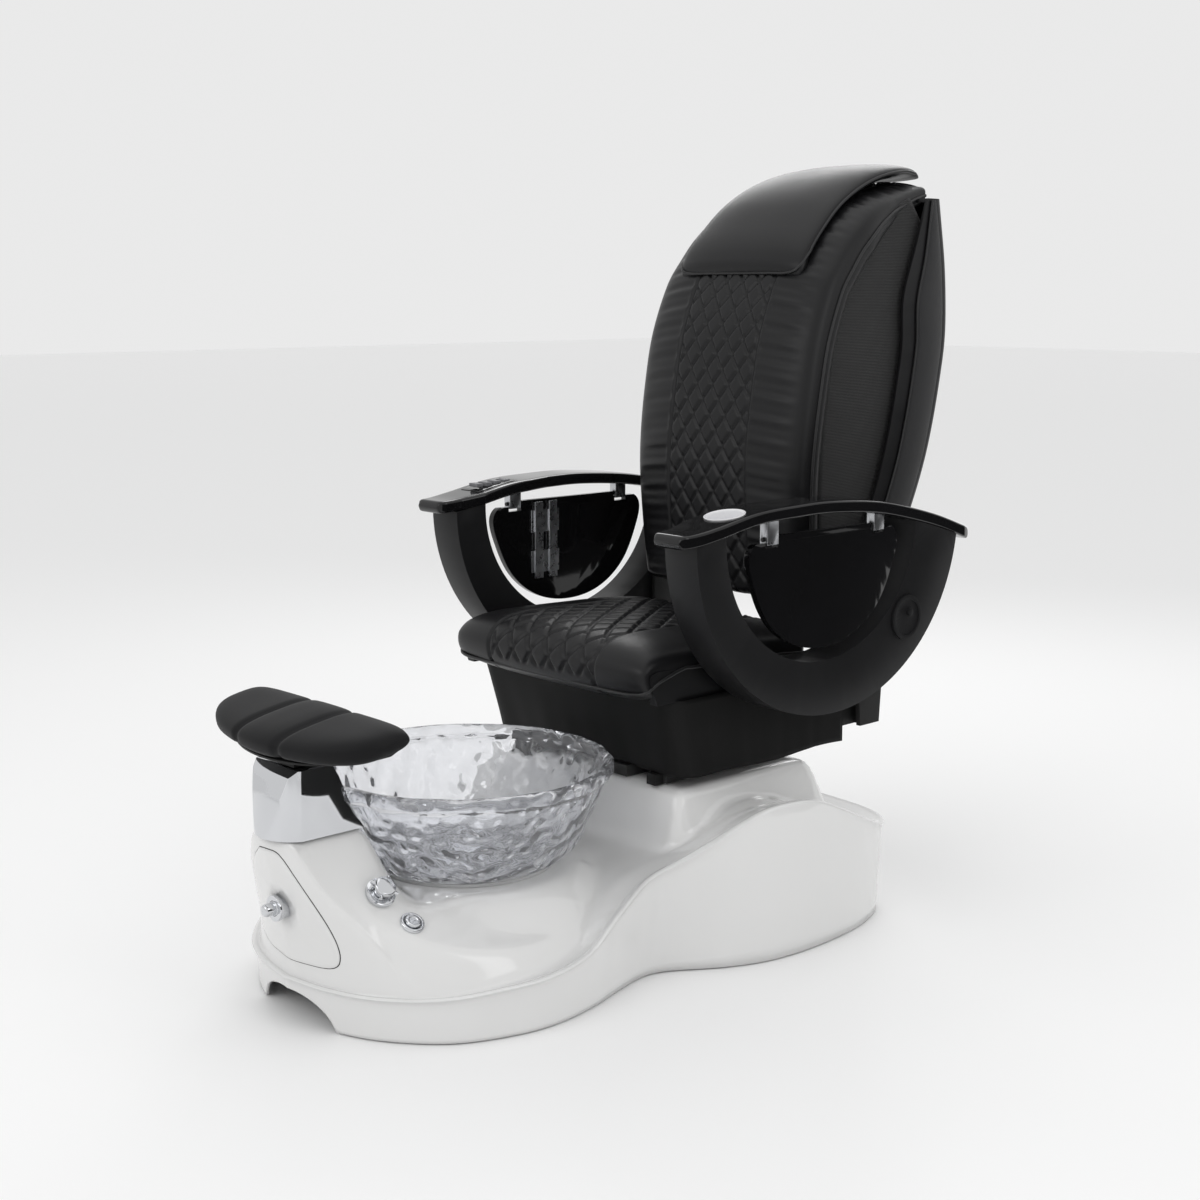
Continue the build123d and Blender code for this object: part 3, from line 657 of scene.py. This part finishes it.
# %% Skin piece
skin_points, skin_faces = skin.reshape(-1, 3), np.array(quads(rows, cols, True))
middles = skin_points[skin_faces].mean(1)
from_spray = np.hypot(middles[:, 0] - SPRAY_AT[0], middles[:, 2] - SPRAY_AT[1])
spray_bore = (from_spray < 24) & (middles[:, 1] < -650)
kept_faces = skin_faces[~spray_bore].tolist()
base_skin = add_piece("base_skin", skin_points * MM, kept_faces, gelcoat, "base", thick=SKIN_WALL)
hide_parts("base_shell")
print("base skin", rows, "rings of", cols)

# %% [markdown]
# ## Access panel on the nose
# The panel follows the nose exactly, so its points are dropped on to the finished skin along a level line
# and lifted two and a half millimetres, with its rim turned in. A flat plate would stand off the curve. Its
# rows run from the outline in to the bore of the spray, so the hole needs no cutting. A thin dark cord round
# the outline is painted shade: it stands for the shadow inside the gap between the panel and the skin.

# %% Access panel
skin_tree = BVHTree.FromPolygons([Vector(v) for v in (skin.reshape(-1, 3) * MM)], quads(rows, cols, True))
PANEL = [(-30, 312), (0, 316), (30, 312), (60, 284), (92, 232), (116, 176), (121, 136), (104, 116), (50, 110),
         (0, 108), (-50, 110), (-104, 116), (-121, 136), (-116, 176), (-92, 232), (-60, 284)]
rim = resample(PANEL + PANEL[:1], 121)[:-1]
away = rim - np.array(SPRAY_AT)
bore = np.array(SPRAY_AT) + 20.6 * away / np.linalg.norm(away, axis=1)[:, None]
panel_rows = []
LIFTS = [(1.0, -0.6), (0.995, 1.2), (0.975, 2.4), (0.9, 2.6), (0.75, 2.6), (0.55, 2.6), (0.3, 2.6),
         (0.0, 2.6)]
for k, lift in LIFTS:
    row = []
    for x, z in bore + (rim - bore) * k:
        hit, _, _, _ = skin_tree.ray_cast(Vector((x * MM, -1.2, z * MM)), Vector((0, 1, 0)))
        row.append(hit + Vector((0, -lift * MM, 0)))
    panel_rows.append(row)
panel_points = [p for row in panel_rows for p in row]
panel = add_piece("access_panel", panel_points, quads(len(panel_rows), 120, True), gelcoat, "base",
                  thick=-1.5)
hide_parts("service_panel")
# The dark rubber cord is painted shade: it is the shadow of the gap round the panel, not a real seal.
gap_shade_line = [tuple(p / MM + Vector((0, -0.3, 0))) for p in panel_rows[0]]
tube("access_panel_gap_shade", gap_shade_line, 1.1, rubber, "base", closed=True)
print("access panel", len(panel_points), "points")

# %% [markdown]
# ## The glass bowl
# A lathe profile gives the thick wall and the rolled rim, and the wall is really dimpled, because bump
# alone doesn't break up the light that passes through it.

# %% Bowl
BOWL_PROFILE = [
    (24, 210.4), (150, 210.6), (181, 216), (204, 236), (232, 288), (254, 338), (266, 366), (277, 374),
    (279, 384), (277, 393), (268, 396.6), (260, 392), (256, 376), (246, 342), (223, 292), (196, 242),
    (174, 224), (150, 219), (24, 218.6)]
BOWL_OUT = 279
wall_line = resample(BOWL_PROFILE, 150)
turns = 240
dimple = np.random.default_rng(4).normal(size=(60, 2))
angle = np.linspace(0, 2 * np.pi, turns, endpoint=False)
bowl_verts = []
for r, z in wall_line:
    sway = np.zeros(turns)
    for n, (a, b) in enumerate(dimple):
        around, up = 9 + n % 14, 0.035 + 0.05 * ((n * 7) % 10) / 10
        sway += np.sin(around * angle + up * z * (1 if n % 2 else -1) + a * 3) * 0.09
    amount = 4.5 * smoothstep(214, 236, z) * (1 - 0.45 * smoothstep(360, 385, z)) * (r > 150)
    rr = np.minimum(r + sway * amount, BOWL_OUT)
    for j in range(turns):
        bowl_verts.append((rr[j] * np.cos(angle[j]) * MM, (BOWL_Y + rr[j] * np.sin(angle[j])) * MM, z * MM))
bowl_faces = quads(len(wall_line), turns, True)
last = (len(wall_line) - 1) * turns
bowl_faces += [(last + j, last + (j + 1) % turns, (j + 1) % turns, j) for j in range(turns)]
bowl = add_piece("hammered_bowl", bowl_verts, bowl_faces, glass, "base")
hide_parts("glass_bowl")
print("bowl", len(bowl_verts), "points")

# %% [markdown]
# ## Stuffed pieces
# Seat, back and pillow are one kind of form: a cross section with full rounded edges, carried along a bent
# spine. The front of the section takes the sewn pattern: sunk diamonds in the middle panel, two long seams
# and, on the back, gathers that run in from the seams. Inflating a cloth would also give the fullness,
# but the diamonds have to stay even, so they are pressed in by rule.

# %% Pad builder


def diamonds(u, v, pitch_u, pitch_v):
    """Depth of a sewn diamond grid, 1 on the stitch line and 0 in the middle of a diamond."""
    a = np.abs(((u / pitch_u + v / pitch_v) % 1.0) - 0.5) * 2
    b = np.abs(((u / pitch_u - v / pitch_v) % 1.0) - 0.5) * 2
    near = np.maximum(a, b)
    return smoothstep(0.7, 1.0, near)


def pad(name, spine_line, width, thickness, finish, body, quilt=None, seams=(), gathers=0.0, crown=6.0,
        square=3.2, rows=260, cols=300, out=1):
    """spine_line: (y, z) along the front face. width and thickness are functions of 0..1 along it."""
    line = resample(spine_line, rows)
    tangent = np.gradient(line, axis=0)
    tangent /= np.linalg.norm(tangent, axis=1)[:, None]
    normal = np.stack([-tangent[:, 1], tangent[:, 0]], 1) * out
    along = run_along(line)
    length = along[-1]
    theta = np.linspace(0, 2 * np.pi, 4001)
    ring_x = squared(np.cos(theta), 2 / square)
    ring_z = squared(np.sin(theta), 2 / square)
    flat = thickness(0.5) / 2 / width(0.5)
    run = np.r_[0, np.cumsum(np.hypot(np.diff(ring_x), np.diff(ring_z) * flat))]
    even = np.linspace(0, run[-1], cols, endpoint=False)
    cx = np.interp(even, run, ring_x)
    cz = np.interp(even, run, ring_z)
    verts = []
    for i in range(rows):
        s = i / (rows - 1)
        end = min(along[i], length - along[i])
        pull = np.sqrt(np.clip(1 - (1 - min(end / 26.0, 1.0)) ** 2, 0.0004, 1))
        w = width(s) * (0.93 + 0.07 * pull)
        h = thickness(s) / 2 * pull
        x = w * cx
        t = h * cz
        on_front = smoothstep(0.2, 0.6, cz)
        bulge = crown * (1 - (x / w) ** 2) * on_front * pull
        sink = np.zeros(cols)
        if quilt is not None:
            q_half, q_lo, q_hi, pu, pv = quilt
            inside = 1 - smoothstep(q_half - 5, q_half, np.abs(x))
            inside = inside * smoothstep(q_lo - 4, q_lo + 4, along[i])
            inside = inside * (1 - smoothstep(q_hi - 4, q_hi + 4, along[i]))
            sink += 5.0 * diamonds(x, np.full(cols, along[i]), pu, pv) * inside
        for seam in seams:
            sink += 4.5 * np.exp(-((np.abs(x) - seam) / 3.2) ** 2)
        if gathers:
            edge = seams[0] if seams else 0
            zone = smoothstep(edge + 2, edge + 14, np.abs(x)) * (1 - smoothstep(edge + 60, w - 6, np.abs(x)))
            wave = np.sin(along[i] * 0.125 + np.abs(x) * 0.018 + 1.3 * np.sin(along[i] * 0.031 + np.sign(x)))
            wave += 0.5 * np.sin(along[i] * 0.29 + np.abs(x) * 0.03)
            sink += gathers * zone * (0.5 + 0.5 * wave)
        t = t + bulge - sink * on_front * pull
        centre_line = line[i] - normal[i] * thickness(s) / 2
        for j in range(cols):
            y, z = centre_line + normal[i] * t[j]
            verts.append((x[j] * MM, y * MM, z * MM))
    obj = add_piece(name, verts, quads(rows, cols, True) + end_caps(rows, cols), finish, body)
    return obj, line, normal


print("pad builder ready")

# %% [markdown]
# ## Seat cushion
# A thick cushion whose front rolls over and tucks under, so its line turns down at the front and back below.
# The quilted middle carries on over the roll, as one cover does on the real seat.

# %% Seat cushion
SEAT_LINE = [(296, 604), (200, 612), (100, 616), (0, 619), (-80, 619), (-130, 608), (-158, 584), (-163, 556),
             (-152, 528), (-126, 512), (-96, 509)]
seat, seat_line, seat_normal = pad(
    "seat_cushion_leather", SEAT_LINE, lambda s: 281 - 8 * s, lambda s: 106 - 58 * smoothstep(0.6, 0.9, s),
    leather, "seat", quilt=(150, 0, 505, 52, 74), seams=(152,), crown=4, square=4.0, out=-1)
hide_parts("seat_cushion")
print("seat", len(seat_line), "rows")

# %% [markdown]
# ## Back cushion
# The back leans away and curls over the top. It is quilted in the middle only, and the plain leather beside
# it is drawn in by gathers that start at the seams. It thins towards the top, where the pillow lies on it.

# %% Back cushion
BACK_LINE = [(306, 632), (294, 760), (288, 872), (292, 960), (306, 1064), (328, 1169), (370, 1272),
             (412, 1330), (460, 1382), (520, 1424), (590, 1450), (662, 1464), (712, 1473),
             (742, 1476), (762, 1462)]


def back_width(s):
    """Half the back's width along it, widest at the shoulders."""
    return 222 + 14 * np.sin(np.pi * min(s * 1.15, 1)) - 30 * smoothstep(0.72, 1.0, s)


back, back_line, back_normal = pad(
    "back_cushion_leather", BACK_LINE, back_width, lambda s: 118 - 62 * smoothstep(0.72, 1.0, s),
    leather, "back", quilt=(104, 0, 1400, 44, 62), seams=(106,), gathers=2.4, crown=5, square=3.4,
    out=1, rows=420)
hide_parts("back_cushion")
print("back", len(back_line), "rows")

# %% [markdown]
# ## Headrest pillow
# A flat plain pillow folds over the top of the back. It is the same form with a thinner section and no
# quilting, and it stands a little off the back at its lower edge so that the edge throws a shadow.

# %% Headrest pillow
PILLOW_LINE = [(361, 1290), (386, 1338), (428, 1384), (485, 1433), (550, 1470), (620, 1496), (690, 1510),
               (745, 1512), (784, 1500)]
pillow, pillow_line, pillow_normal = pad(
    "headrest_pillow_leather", PILLOW_LINE, lambda s: 170 - 22 * s, lambda s: 40 - 12 * s, leather, "back",
    crown=5, square=3.0, out=1, rows=160, cols=200)
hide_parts("headrest_pillow")
print("pillow", len(pillow_line), "rows")

# %% [markdown]
# ## Footrest pad
# A half-moon of moulded foam in three lobes. Upright sections stand side by side across it, each a rounded
# oblong, and they draw in at the two creases and close at the ends. A pillow pressed by lattice would give
# softer creases, but the sections keep the outline exact.

# %% Footrest pad
hinge = np.array([-718.0, 478.0])
slope = math.radians(10)
PAD_HALF = 232
STATIONS, AROUND = 140, 64
FRONT_X = [-232, -205, -130, 0, 130, 205, 232]
FRONT_Y = [20, -22, -58, -76, -58, -22, 20]
front_line = resample(list(zip(FRONT_X, FRONT_Y)), 400)
pad_rows = []
stations = PAD_HALF * np.sin(np.linspace(-math.pi / 2, math.pi / 2, STATIONS))
section = np.linspace(0, 2 * np.pi, AROUND, endpoint=False)
for x in stations:
    close = np.sqrt(max(1 - (abs(x) / 233.0) ** 13, 0.0004))
    fore = np.interp(x, front_line[:, 0], front_line[:, 1])
    aft = 99 - 9 * (abs(x) / PAD_HALF) ** 4
    crease = math.exp(-((abs(x) - 62) / 8.0) ** 2)
    lobe = 1 + 0.12 * math.exp(-(x / 46.0) ** 4) - 0.26 * crease
    middle, reach_y = (fore + aft) / 2, max((aft - fore) / 2 * (0.74 + 0.26 * close) - 5 * crease, 4)
    half_high = 24.5 * lobe * close
    along_y = middle + reach_y * squared(np.cos(section), 0.72)
    h = 37 + half_high * squared(np.sin(section), 0.72)
    y = hinge[0] + along_y * math.cos(slope) - h * math.sin(slope)
    z = hinge[1] + along_y * math.sin(slope) + h * math.cos(slope)
    pad_rows.append(np.column_stack([np.full(AROUND, x), y, z]))
pad_points = np.array(pad_rows).reshape(-1, 3) * MM
pad_faces = quads(STATIONS, AROUND, True) + end_caps(STATIONS, AROUND)
foot_pad = add_piece("footrest_pad_skin", pad_points, pad_faces, foam_skin, "footrest")
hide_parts("footrest_pad")
print("footrest pad", len(pad_points), "points")

# %% [markdown]
# ## Chrome controls
# The diverter knob, the air button and the spray head are turned parts, so each is a profile spun about its
# own axis. The plain solids have hard facets that break up a mirror finish, and a spun profile has none.

# %% Turned chrome
TURN_ROWS, SPOKES = 60, 64


def turned(name, at, axis, profile, body, replaced, finish=chrome):
    """Spins (radius, height) points in millimetres about an axis through `at`."""
    z_dir = Vector(axis).normalized()
    x_dir = z_dir.cross(Vector((0, 1, 0.01))).normalized()
    y_dir = z_dir.cross(x_dir)
    spun = []
    for r, h in resample(profile, TURN_ROWS):
        for a in np.linspace(0, 2 * np.pi, SPOKES, endpoint=False):
            spun.append((Vector(at) + x_dir * (r * math.cos(a)) + y_dir * (r * math.sin(a)) + z_dir * h) * MM)
    obj = add_piece(name, spun, quads(TURN_ROWS, SPOKES, True), finish, body)
    if replaced:
        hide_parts(replaced)
    return z_dir, x_dir, y_dir


KNOB_AT, KNOB_AXIS = (133, -639, 238), (0.707, 0, 0.707)
turned("diverter_knob_disc", KNOB_AT, KNOB_AXIS,
       [(6, 7), (13, 7), (15, 9), (15, 14), (17.5, 17), (19, 20), (19, 25), (17.5, 27), (14, 27.6), (7, 27.8),
        (0.2, 27.8)], "knob", "diverter_knob")
z_dir, x_dir, y_dir = turned("diverter_collar", KNOB_AT, KNOB_AXIS,
                             [(26, -2), (26.5, 3), (24, 5.4), (12, 6), (6.3, 6)], "base", None)
for k in range(4):
    a = math.radians(45 + 90 * k)
    arm = x_dir * math.cos(a) + y_dir * math.sin(a)
    root, tip = Vector(KNOB_AT) + z_dir * 20 + arm * 16, Vector(KNOB_AT) + z_dir * 20 + arm * 25
    peg = [tuple(root), tuple(root * 0.5 + tip * 0.5), tuple(tip)]
    tube(f"diverter_peg_{k}", peg, 3.2, chrome, "knob")
BUTTON_AT, BUTTON_AXIS = (182, -609, 189), (0.54, 0, 0.84)
turned("air_button_ring", BUTTON_AT, BUTTON_AXIS,
       [(21.8, -1), (22, 3), (20.5, 6), (17.5, 6.6), (15.4, 5), (15.0, 1), (15.0, -20)],
       "base", "air_button_switch")
turned("air_button_cap", BUTTON_AT, BUTTON_AXIS,
       [(14.1, -18), (14.1, 6), (13, 9), (9, 9.8), (8, 8.6), (5, 8.4), (0.2, 8.6)], "air_push", "air_button")
turned("spray_head_barrel", (12, -715, 212), (0, -1, 0),
       [(12.8, 0), (12.8, 57), (11.5, 60), (11.2, 75), (9.5, 80.5), (5, 82.2), (0.2, 82.4)],
       "spray", "spray_head")
print("chrome controls done")

# %% [markdown]
# ## Piping
# Leather welts run round the seat's sides and low front, along both edges of the back and round the pillow.
# They are round cords laid on the seam line of each pad. Under the seat's welt a flat boxing panel closes the
# cushion's side, which would otherwise show the hollow behind the rolled front.

# %% Piping


def edge_line(line, normal, width, depth, side, lo=0.0, hi=1.0):
    """Points along one long edge of a pad, a given depth behind its front."""
    points = []
    for i in range(int(lo * (len(line) - 1)), int(hi * (len(line) - 1)) + 1, 2):
        s = i / (len(line) - 1)
        y, z = line[i] - normal[i] * depth(s)
        points.append((side * width(s), y, z))
    return points


BACK_WELT, SEAT_WELT, PILLOW_WELT, COVER_WELT = 3.6, 3.4, 3.2, 3


def seat_depth(s):
    """How far behind the seat's face its welt runs: half the cushion's thickness."""
    return 52 - 28 * smoothstep(0.6, 0.9, s)


for side, word in ((-1, "right"), (1, "left")):
    welt = edge_line(back_line, back_normal, lambda s: back_width(s) + 0.5,
                     lambda s: 59 - 31 * smoothstep(0.72, 1, s), side, 0.02, 0.97)
    tube(f"back_piping_{word}", welt, BACK_WELT, thread, "back")
    under_welt = edge_line(seat_line, seat_normal, lambda s: 1.0, seat_depth, 1, 0.02, 0.9)
    boxing = [(y, z) for _, y, z in under_welt]
    boxing = [p for p in boxing if p[1] > 512] + [(-118, 507), (296, 507)]
    count = len(boxing)
    box_verts = [(side * x * MM, y * MM, z * MM) for x in (258, 277) for y, z in boxing]
    box_faces = [tuple(range(count)), tuple(range(2 * count - 1, count - 1, -1))]
    box_faces += [(j, count + j, count + (j + 1) % count, (j + 1) % count) for j in range(count)]
    side_boxing = add_piece(f"seat_side_boxing_{word}", box_verts, box_faces, leather, "seat")
    crisp_edges(side_boxing)
seat_side = edge_line(seat_line, seat_normal, lambda s: 281.5 - 8 * s, seat_depth, 1, 0.02, 0.6)
seat_front = [(277, -112, 552), (270, -139, 535), (240, -151, 528), (160, -154, 527), (80, -154, 527),
              (0, -154, 527)]
half_loop = seat_side[::5] + seat_front
loop = half_loop + [(-x, y, z) for x, y, z in half_loop[-2::-1]]
tube("seat_piping", resample(loop, 300), SEAT_WELT, thread, "seat")
pillow_side = edge_line(pillow_line, pillow_normal, lambda s: 170.5 - 22 * s, lambda s: 20 - 6 * s, 1, 0.11,
                        0.96)[::-1]
pillow_front = [(x, 372, 1287.5) for x in (135, 90, 45, 0)]
half_loop = pillow_side[::5] + [pillow_side[-1], (160, 376, 1296)] + pillow_front
loop = half_loop + [(-x, y, z) for x, y, z in half_loop[-2::-1]]
tube("pillow_piping", resample(loop, 260), PILLOW_WELT, thread, "back")
print("piping done")

# %% [markdown]
# ## Side covers of the back
# A fabric side panel bulges outward and the mesh inset behind the cushion lies further in. Both are sheets
# between two long lines, so one rule draws them on both sides. A gusset then runs from the panel's rear edge
# to the plastic shell. It asks the shell's own mesh where it ends, so the two always meet.

# %% Side covers
SHELL_REAR = [(610, 645), (660, 720), (703, 801), (745, 900), (771, 990), (790, 1080), (800, 1149),
              (799, 1230), (790, 1316), (778, 1380), (766, 1436)]
CUSHION_REAR = [(410, 700), (402, 840), (402, 960), (412, 1060), (424, 1160), (442, 1240), (490, 1310),
                (535, 1370), (600, 1412), (670, 1440)]
COVER_X, INSET_X = 225.5, 204
UP, OVER, GUSSET_OVER = 90, 14, 8


def side_sheet(name, front, rear, x, bulge, finish, thick):
    """A bulged sheet at one side of the back, between a front and a rear line of (y, z)."""
    a, b = resample(front, UP), resample(rear, UP)
    verts = []
    for i in range(UP):
        for t in np.linspace(0, 1, OVER):
            y, z = a[i] * (1 - t) + b[i] * t
            fade = np.sin(np.pi * min(max(i / (UP - 1), 0.02), 0.98)) ** 0.5
            out = bulge * (np.sin(np.pi * t) ** 0.7) * fade
            verts.append((math.copysign(abs(x) + out, x) * MM, y * MM, z * MM))
    faces = quads(UP, OVER)
    if x < 0:
        faces = [f[::-1] for f in faces]
    return add_piece(name, verts, faces, finish, "back", thick=thick)


shell = NODES["back_shell"]
shell_points = np.array([tuple(shell.matrix_world @ v.co) for v in shell.data.vertices]) / MM


def shell_edge(z):
    """Where the plastic shell ends sideways at a height, a little inside it."""
    near = shell_points[np.abs(shell_points[:, 2] - z) < 24]
    if not len(near):
        return 150.0, float(np.interp(z, [p[1] for p in SHELL_REAR], [p[0] for p in SHELL_REAR]) - 12)
    widest = near[np.argmax(np.abs(near[:, 0]))]
    return float(abs(widest[0]) - 6), float(widest[1])


side_front = [(y - 124 + max(0, z - 1230) * 0.35, z) for y, z in SHELL_REAR]
side_rear = [(y - 36, z) for y, z in SHELL_REAR]
inset_rear = [(y + 12, z) for y, z in side_front[:-1]]
for side, word in ((-1, "right"), (1, "left")):
    cover = side_sheet(f"back_side_cover_{word}", side_front, side_rear, side * COVER_X, 13, side_cloth, 3)
    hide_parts("back_side_panels")
    inset = side_sheet(f"back_mesh_{word}", CUSHION_REAR, inset_rear, side * INSET_X, 4, mesh_cloth, 2)
    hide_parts("back_mesh_panels")
    gusset_verts = []
    for y, z in resample(side_rear, UP):
        edge_x, edge_y = shell_edge(z)
        for t in np.linspace(0, 1, GUSSET_OVER):
            x = COVER_X * (1 - t) + edge_x * t
            gusset_verts.append((side * x * MM, (y * (1 - t) + edge_y * t) * MM, z * MM))
    gusset = add_piece(f"back_gusset_{word}", gusset_verts, quads(UP, GUSSET_OVER), side_cloth, "back",
                       thick=2)
    welt = [(side * 228, y + 1, z) for y, z in resample(side_front, 80)]
    tube(f"side_cover_piping_{word}", welt, COVER_WELT, thread, "back")
print("side covers, insets and gussets done")

# %% [markdown]
# ## The skirt
# A vinyl skirt hangs round the front and sides of the seat frame. Its front slopes back to the hem, which
# waves a little, as heavy vinyl does where it isn't weighted. A cloth solver could hang it, but so stiff and
# short a sheet barely moves, so the wave is written as a rule.

# %% Skirt


def skirt_path(half_width, front, back_y, corner, count=150):
    """Plan line from the rear left, round the front, to the rear right."""
    points = [(half_width, y) for y in np.linspace(back_y, front + corner, 40)]
    for a in np.linspace(0, math.pi / 2, 16):
        points.append((half_width - corner + corner * math.cos(a), front + corner - corner * math.sin(a)))
    points += [(x, front) for x in np.linspace(half_width - corner, 0, 30)]
    whole = points + [(-x, y) for x, y in points[-2::-1]]
    return resample(whole, count)


SKIRT_TOP, SKIRT_HEM = 509, 355
DOWN, ROUND = 18, 150
top_path, hem_path = skirt_path(285, -88, 398, 42), skirt_path(286, -42, 398, 46)
skirt_verts = []
for t in np.linspace(0, 1, DOWN):
    for i in range(ROUND):
        x, y = top_path[i] * (1 - t) + hem_path[i] * t
        wave = 1.3 * t * math.sin(i * 0.35) + 0.6 * t * math.sin(i * 0.93 + 1)
        hem = SKIRT_HEM + 3 * math.sin(i * 0.21) * t
        y_wave = wave if 40 < i < 110 else 0
        x_wave = 0 if 40 < i < 110 else math.copysign(min(wave, 0.8), x)
        z = SKIRT_TOP * (1 - t) + hem * t
        skirt_verts.append(((x + x_wave) * MM, (y + y_wave - 2) * MM, z * MM))
skirt = add_piece("seat_skirt_vinyl", skirt_verts, quads(DOWN, ROUND), vinyl, "seat", thick=2)
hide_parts("seat_skirt")
print("skirt", len(skirt_verts), "points")

# %% [markdown]
# ## Arm slabs
# The lacquered slab is carried along its arched top line with a nearly square section whose edges are
# rolled over. The cup recess and the keypad pocket are then cut out of it with a boolean, as a router would.
# The white cup liner is spun like the chrome parts, about an axis that leans with the slab.

# %% Arm slabs
SLAB_TOP = [(-165, 833), (-125, 836), (-74, 844), (29, 862), (137, 867), (222, 867), (340, 858), (432, 843),
            (562, 812), (682, 773)]
SLAB_Y = [-165, -150, -110, -60, 60, 120, 300, 660, 682]
SLAB_IN = [312, 304, 298, 285, 287, 300, 301, 304, 312]
SLAB_OUT = [376, 383, 388, 390, 390, 390, 389, 378, 370]
SLAB_HALF = 12.5
SLAB_ROWS, SLAB_COLS = 220, 72


def arm_slab(word, side, cutter):
    """Builds one slab and cuts the cutter's shape out of it."""
    line = resample(SLAB_TOP, SLAB_ROWS)
    turn = np.linspace(0, 2 * np.pi, SLAB_COLS, endpoint=False)
    verts = []
    for i, (y, z) in enumerate(line):
        near_end = min(i, SLAB_ROWS - 1 - i) / 2.0
        close = math.sqrt(max(1 - (1 - min(near_end, 1)) ** 2, 0.02))
        inner, outer = np.interp(y, SLAB_Y, SLAB_IN), np.interp(y, SLAB_Y, SLAB_OUT)
        cx, cz = squared(np.cos(turn), 0.22), squared(np.sin(turn), 0.30)
        x = (inner + outer) / 2 + (outer - inner) / 2 * (0.97 + 0.03 * close) * cx
        zz = z - SLAB_HALF + SLAB_HALF * close * cz
        verts += [(side * a * MM, y * MM, b * MM) for a, b in zip(x, zz)]
    faces = quads(SLAB_ROWS, SLAB_COLS, True) + end_caps(SLAB_ROWS, SLAB_COLS)
    if side < 0:
        faces = [f[::-1] for f in faces]
    obj = add_piece(f"arm_slab_{word}", verts, faces, lacquer, f"arm_{word}")
    cut = obj.modifiers.new("recess", "BOOLEAN")
    cut.operation = "DIFFERENCE"
    cut.object = cutter
    baked = bpy.data.meshes.new_from_object(obj.evaluated_get(bpy.context.evaluated_depsgraph_get()))
    obj.modifiers.remove(cut)
    obj.data = baked
    smooth(baked)
    crisp_edges(obj)
    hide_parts(f"arm_{word}_slab")
    bpy.data.objects.remove(cutter)
    return obj


def recess_cutter(points, z0, z1):
    """An upright prism from z0 to z1 over a plan outline."""
    count = len(points)
    verts = [(x * MM, y * MM, z * MM) for z in (z0, z1) for x, y in points]
    faces = [tuple(range(count))[::-1], tuple(range(count, 2 * count))]
    faces += [(j, (j + 1) % count, count + (j + 1) % count, count + j) for j in range(count)]
    return mesh_object("cutter", verts, faces)


cup_low, cup_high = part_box("cup_holder")
cup_x, cup_y = (cup_low.x + cup_high.x) / 2 / MM, (cup_low.y + cup_high.y) / 2 / MM
CUP_HOLE = 37.6
cup_turn = np.linspace(0, 2 * np.pi, 64, False)
circle = [(cup_x + CUP_HOLE * math.cos(a), cup_y + CUP_HOLE * math.sin(a)) for a in cup_turn]
key_low, key_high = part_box("remote_panel")
kx0, kx1, ky0, ky1 = (v / MM for v in (key_low.x, key_high.x, key_low.y, key_high.y))
pocket = [(kx0 - 0.3, ky0 - 0.3), (kx1 + 0.3, ky0 - 0.3), (kx1 + 0.3, ky1 + 0.3), (kx0 - 0.3, ky1 + 0.3)]
turned("cup_liner", (cup_x, cup_y, 855), (0, -0.172, 0.985),
       [(0.2, -20.5), (34, -20.5), (37, -18), (37.2, -1), (39, 0.8), (37.8, 2.2), (35.2, 1.6),
        (33.6, -0.5), (32.8, -14), (29, -17), (0.2, -17)], "arm_left", "cup_holder", cup_white)
arm_slab("left", 1, recess_cutter(circle, 800, 900))
arm_slab("right", -1, recess_cutter(pocket, 846, 900))
print("cup at", round(cup_x), round(cup_y))

# %% [markdown]
# ## Tray hardware
# On the inner face of each tray two plated channels and two cross plates carry the folding mechanism. They
# are plain boxes with rounded edges, because they are seen small and from one side.

# %% Tray hardware


def plate(name, x0, x1, y0, y1, z0, z1, body):
    """A small steel box with rounded edges, from its limits in millimetres."""
    verts = [(x * MM, y * MM, z * MM) for x in (x0, x1) for y in (y0, y1) for z in (z0, z1)]
    faces = [(0, 1, 3, 2), (4, 6, 7, 5), (0, 4, 5, 1), (2, 3, 7, 6), (0, 2, 6, 4), (1, 5, 7, 3)]
    round_edges(add_piece(name, verts, faces, steel, body), 1.0)


for side, word in ((-1, "right"), (1, "left")):
    tray_body = f"tray_{word}_body"
    lo, hi = sorted((side * 352, side * 358.6))
    plate(f"tray_channel_{word}", lo, hi, 128, 150, 640, 806, tray_body)
    plate(f"tray_channel_b_{word}", lo, hi, 168, 190, 640, 806, tray_body)
    lo, hi = sorted((side * 355.5, side * 358.8))
    plate(f"tray_plate_{word}", lo, hi, 120, 198, 652, 700, tray_body)
    plate(f"tray_plate_b_{word}", lo, hi, 120, 198, 740, 788, tray_body)
print("tray hardware done")
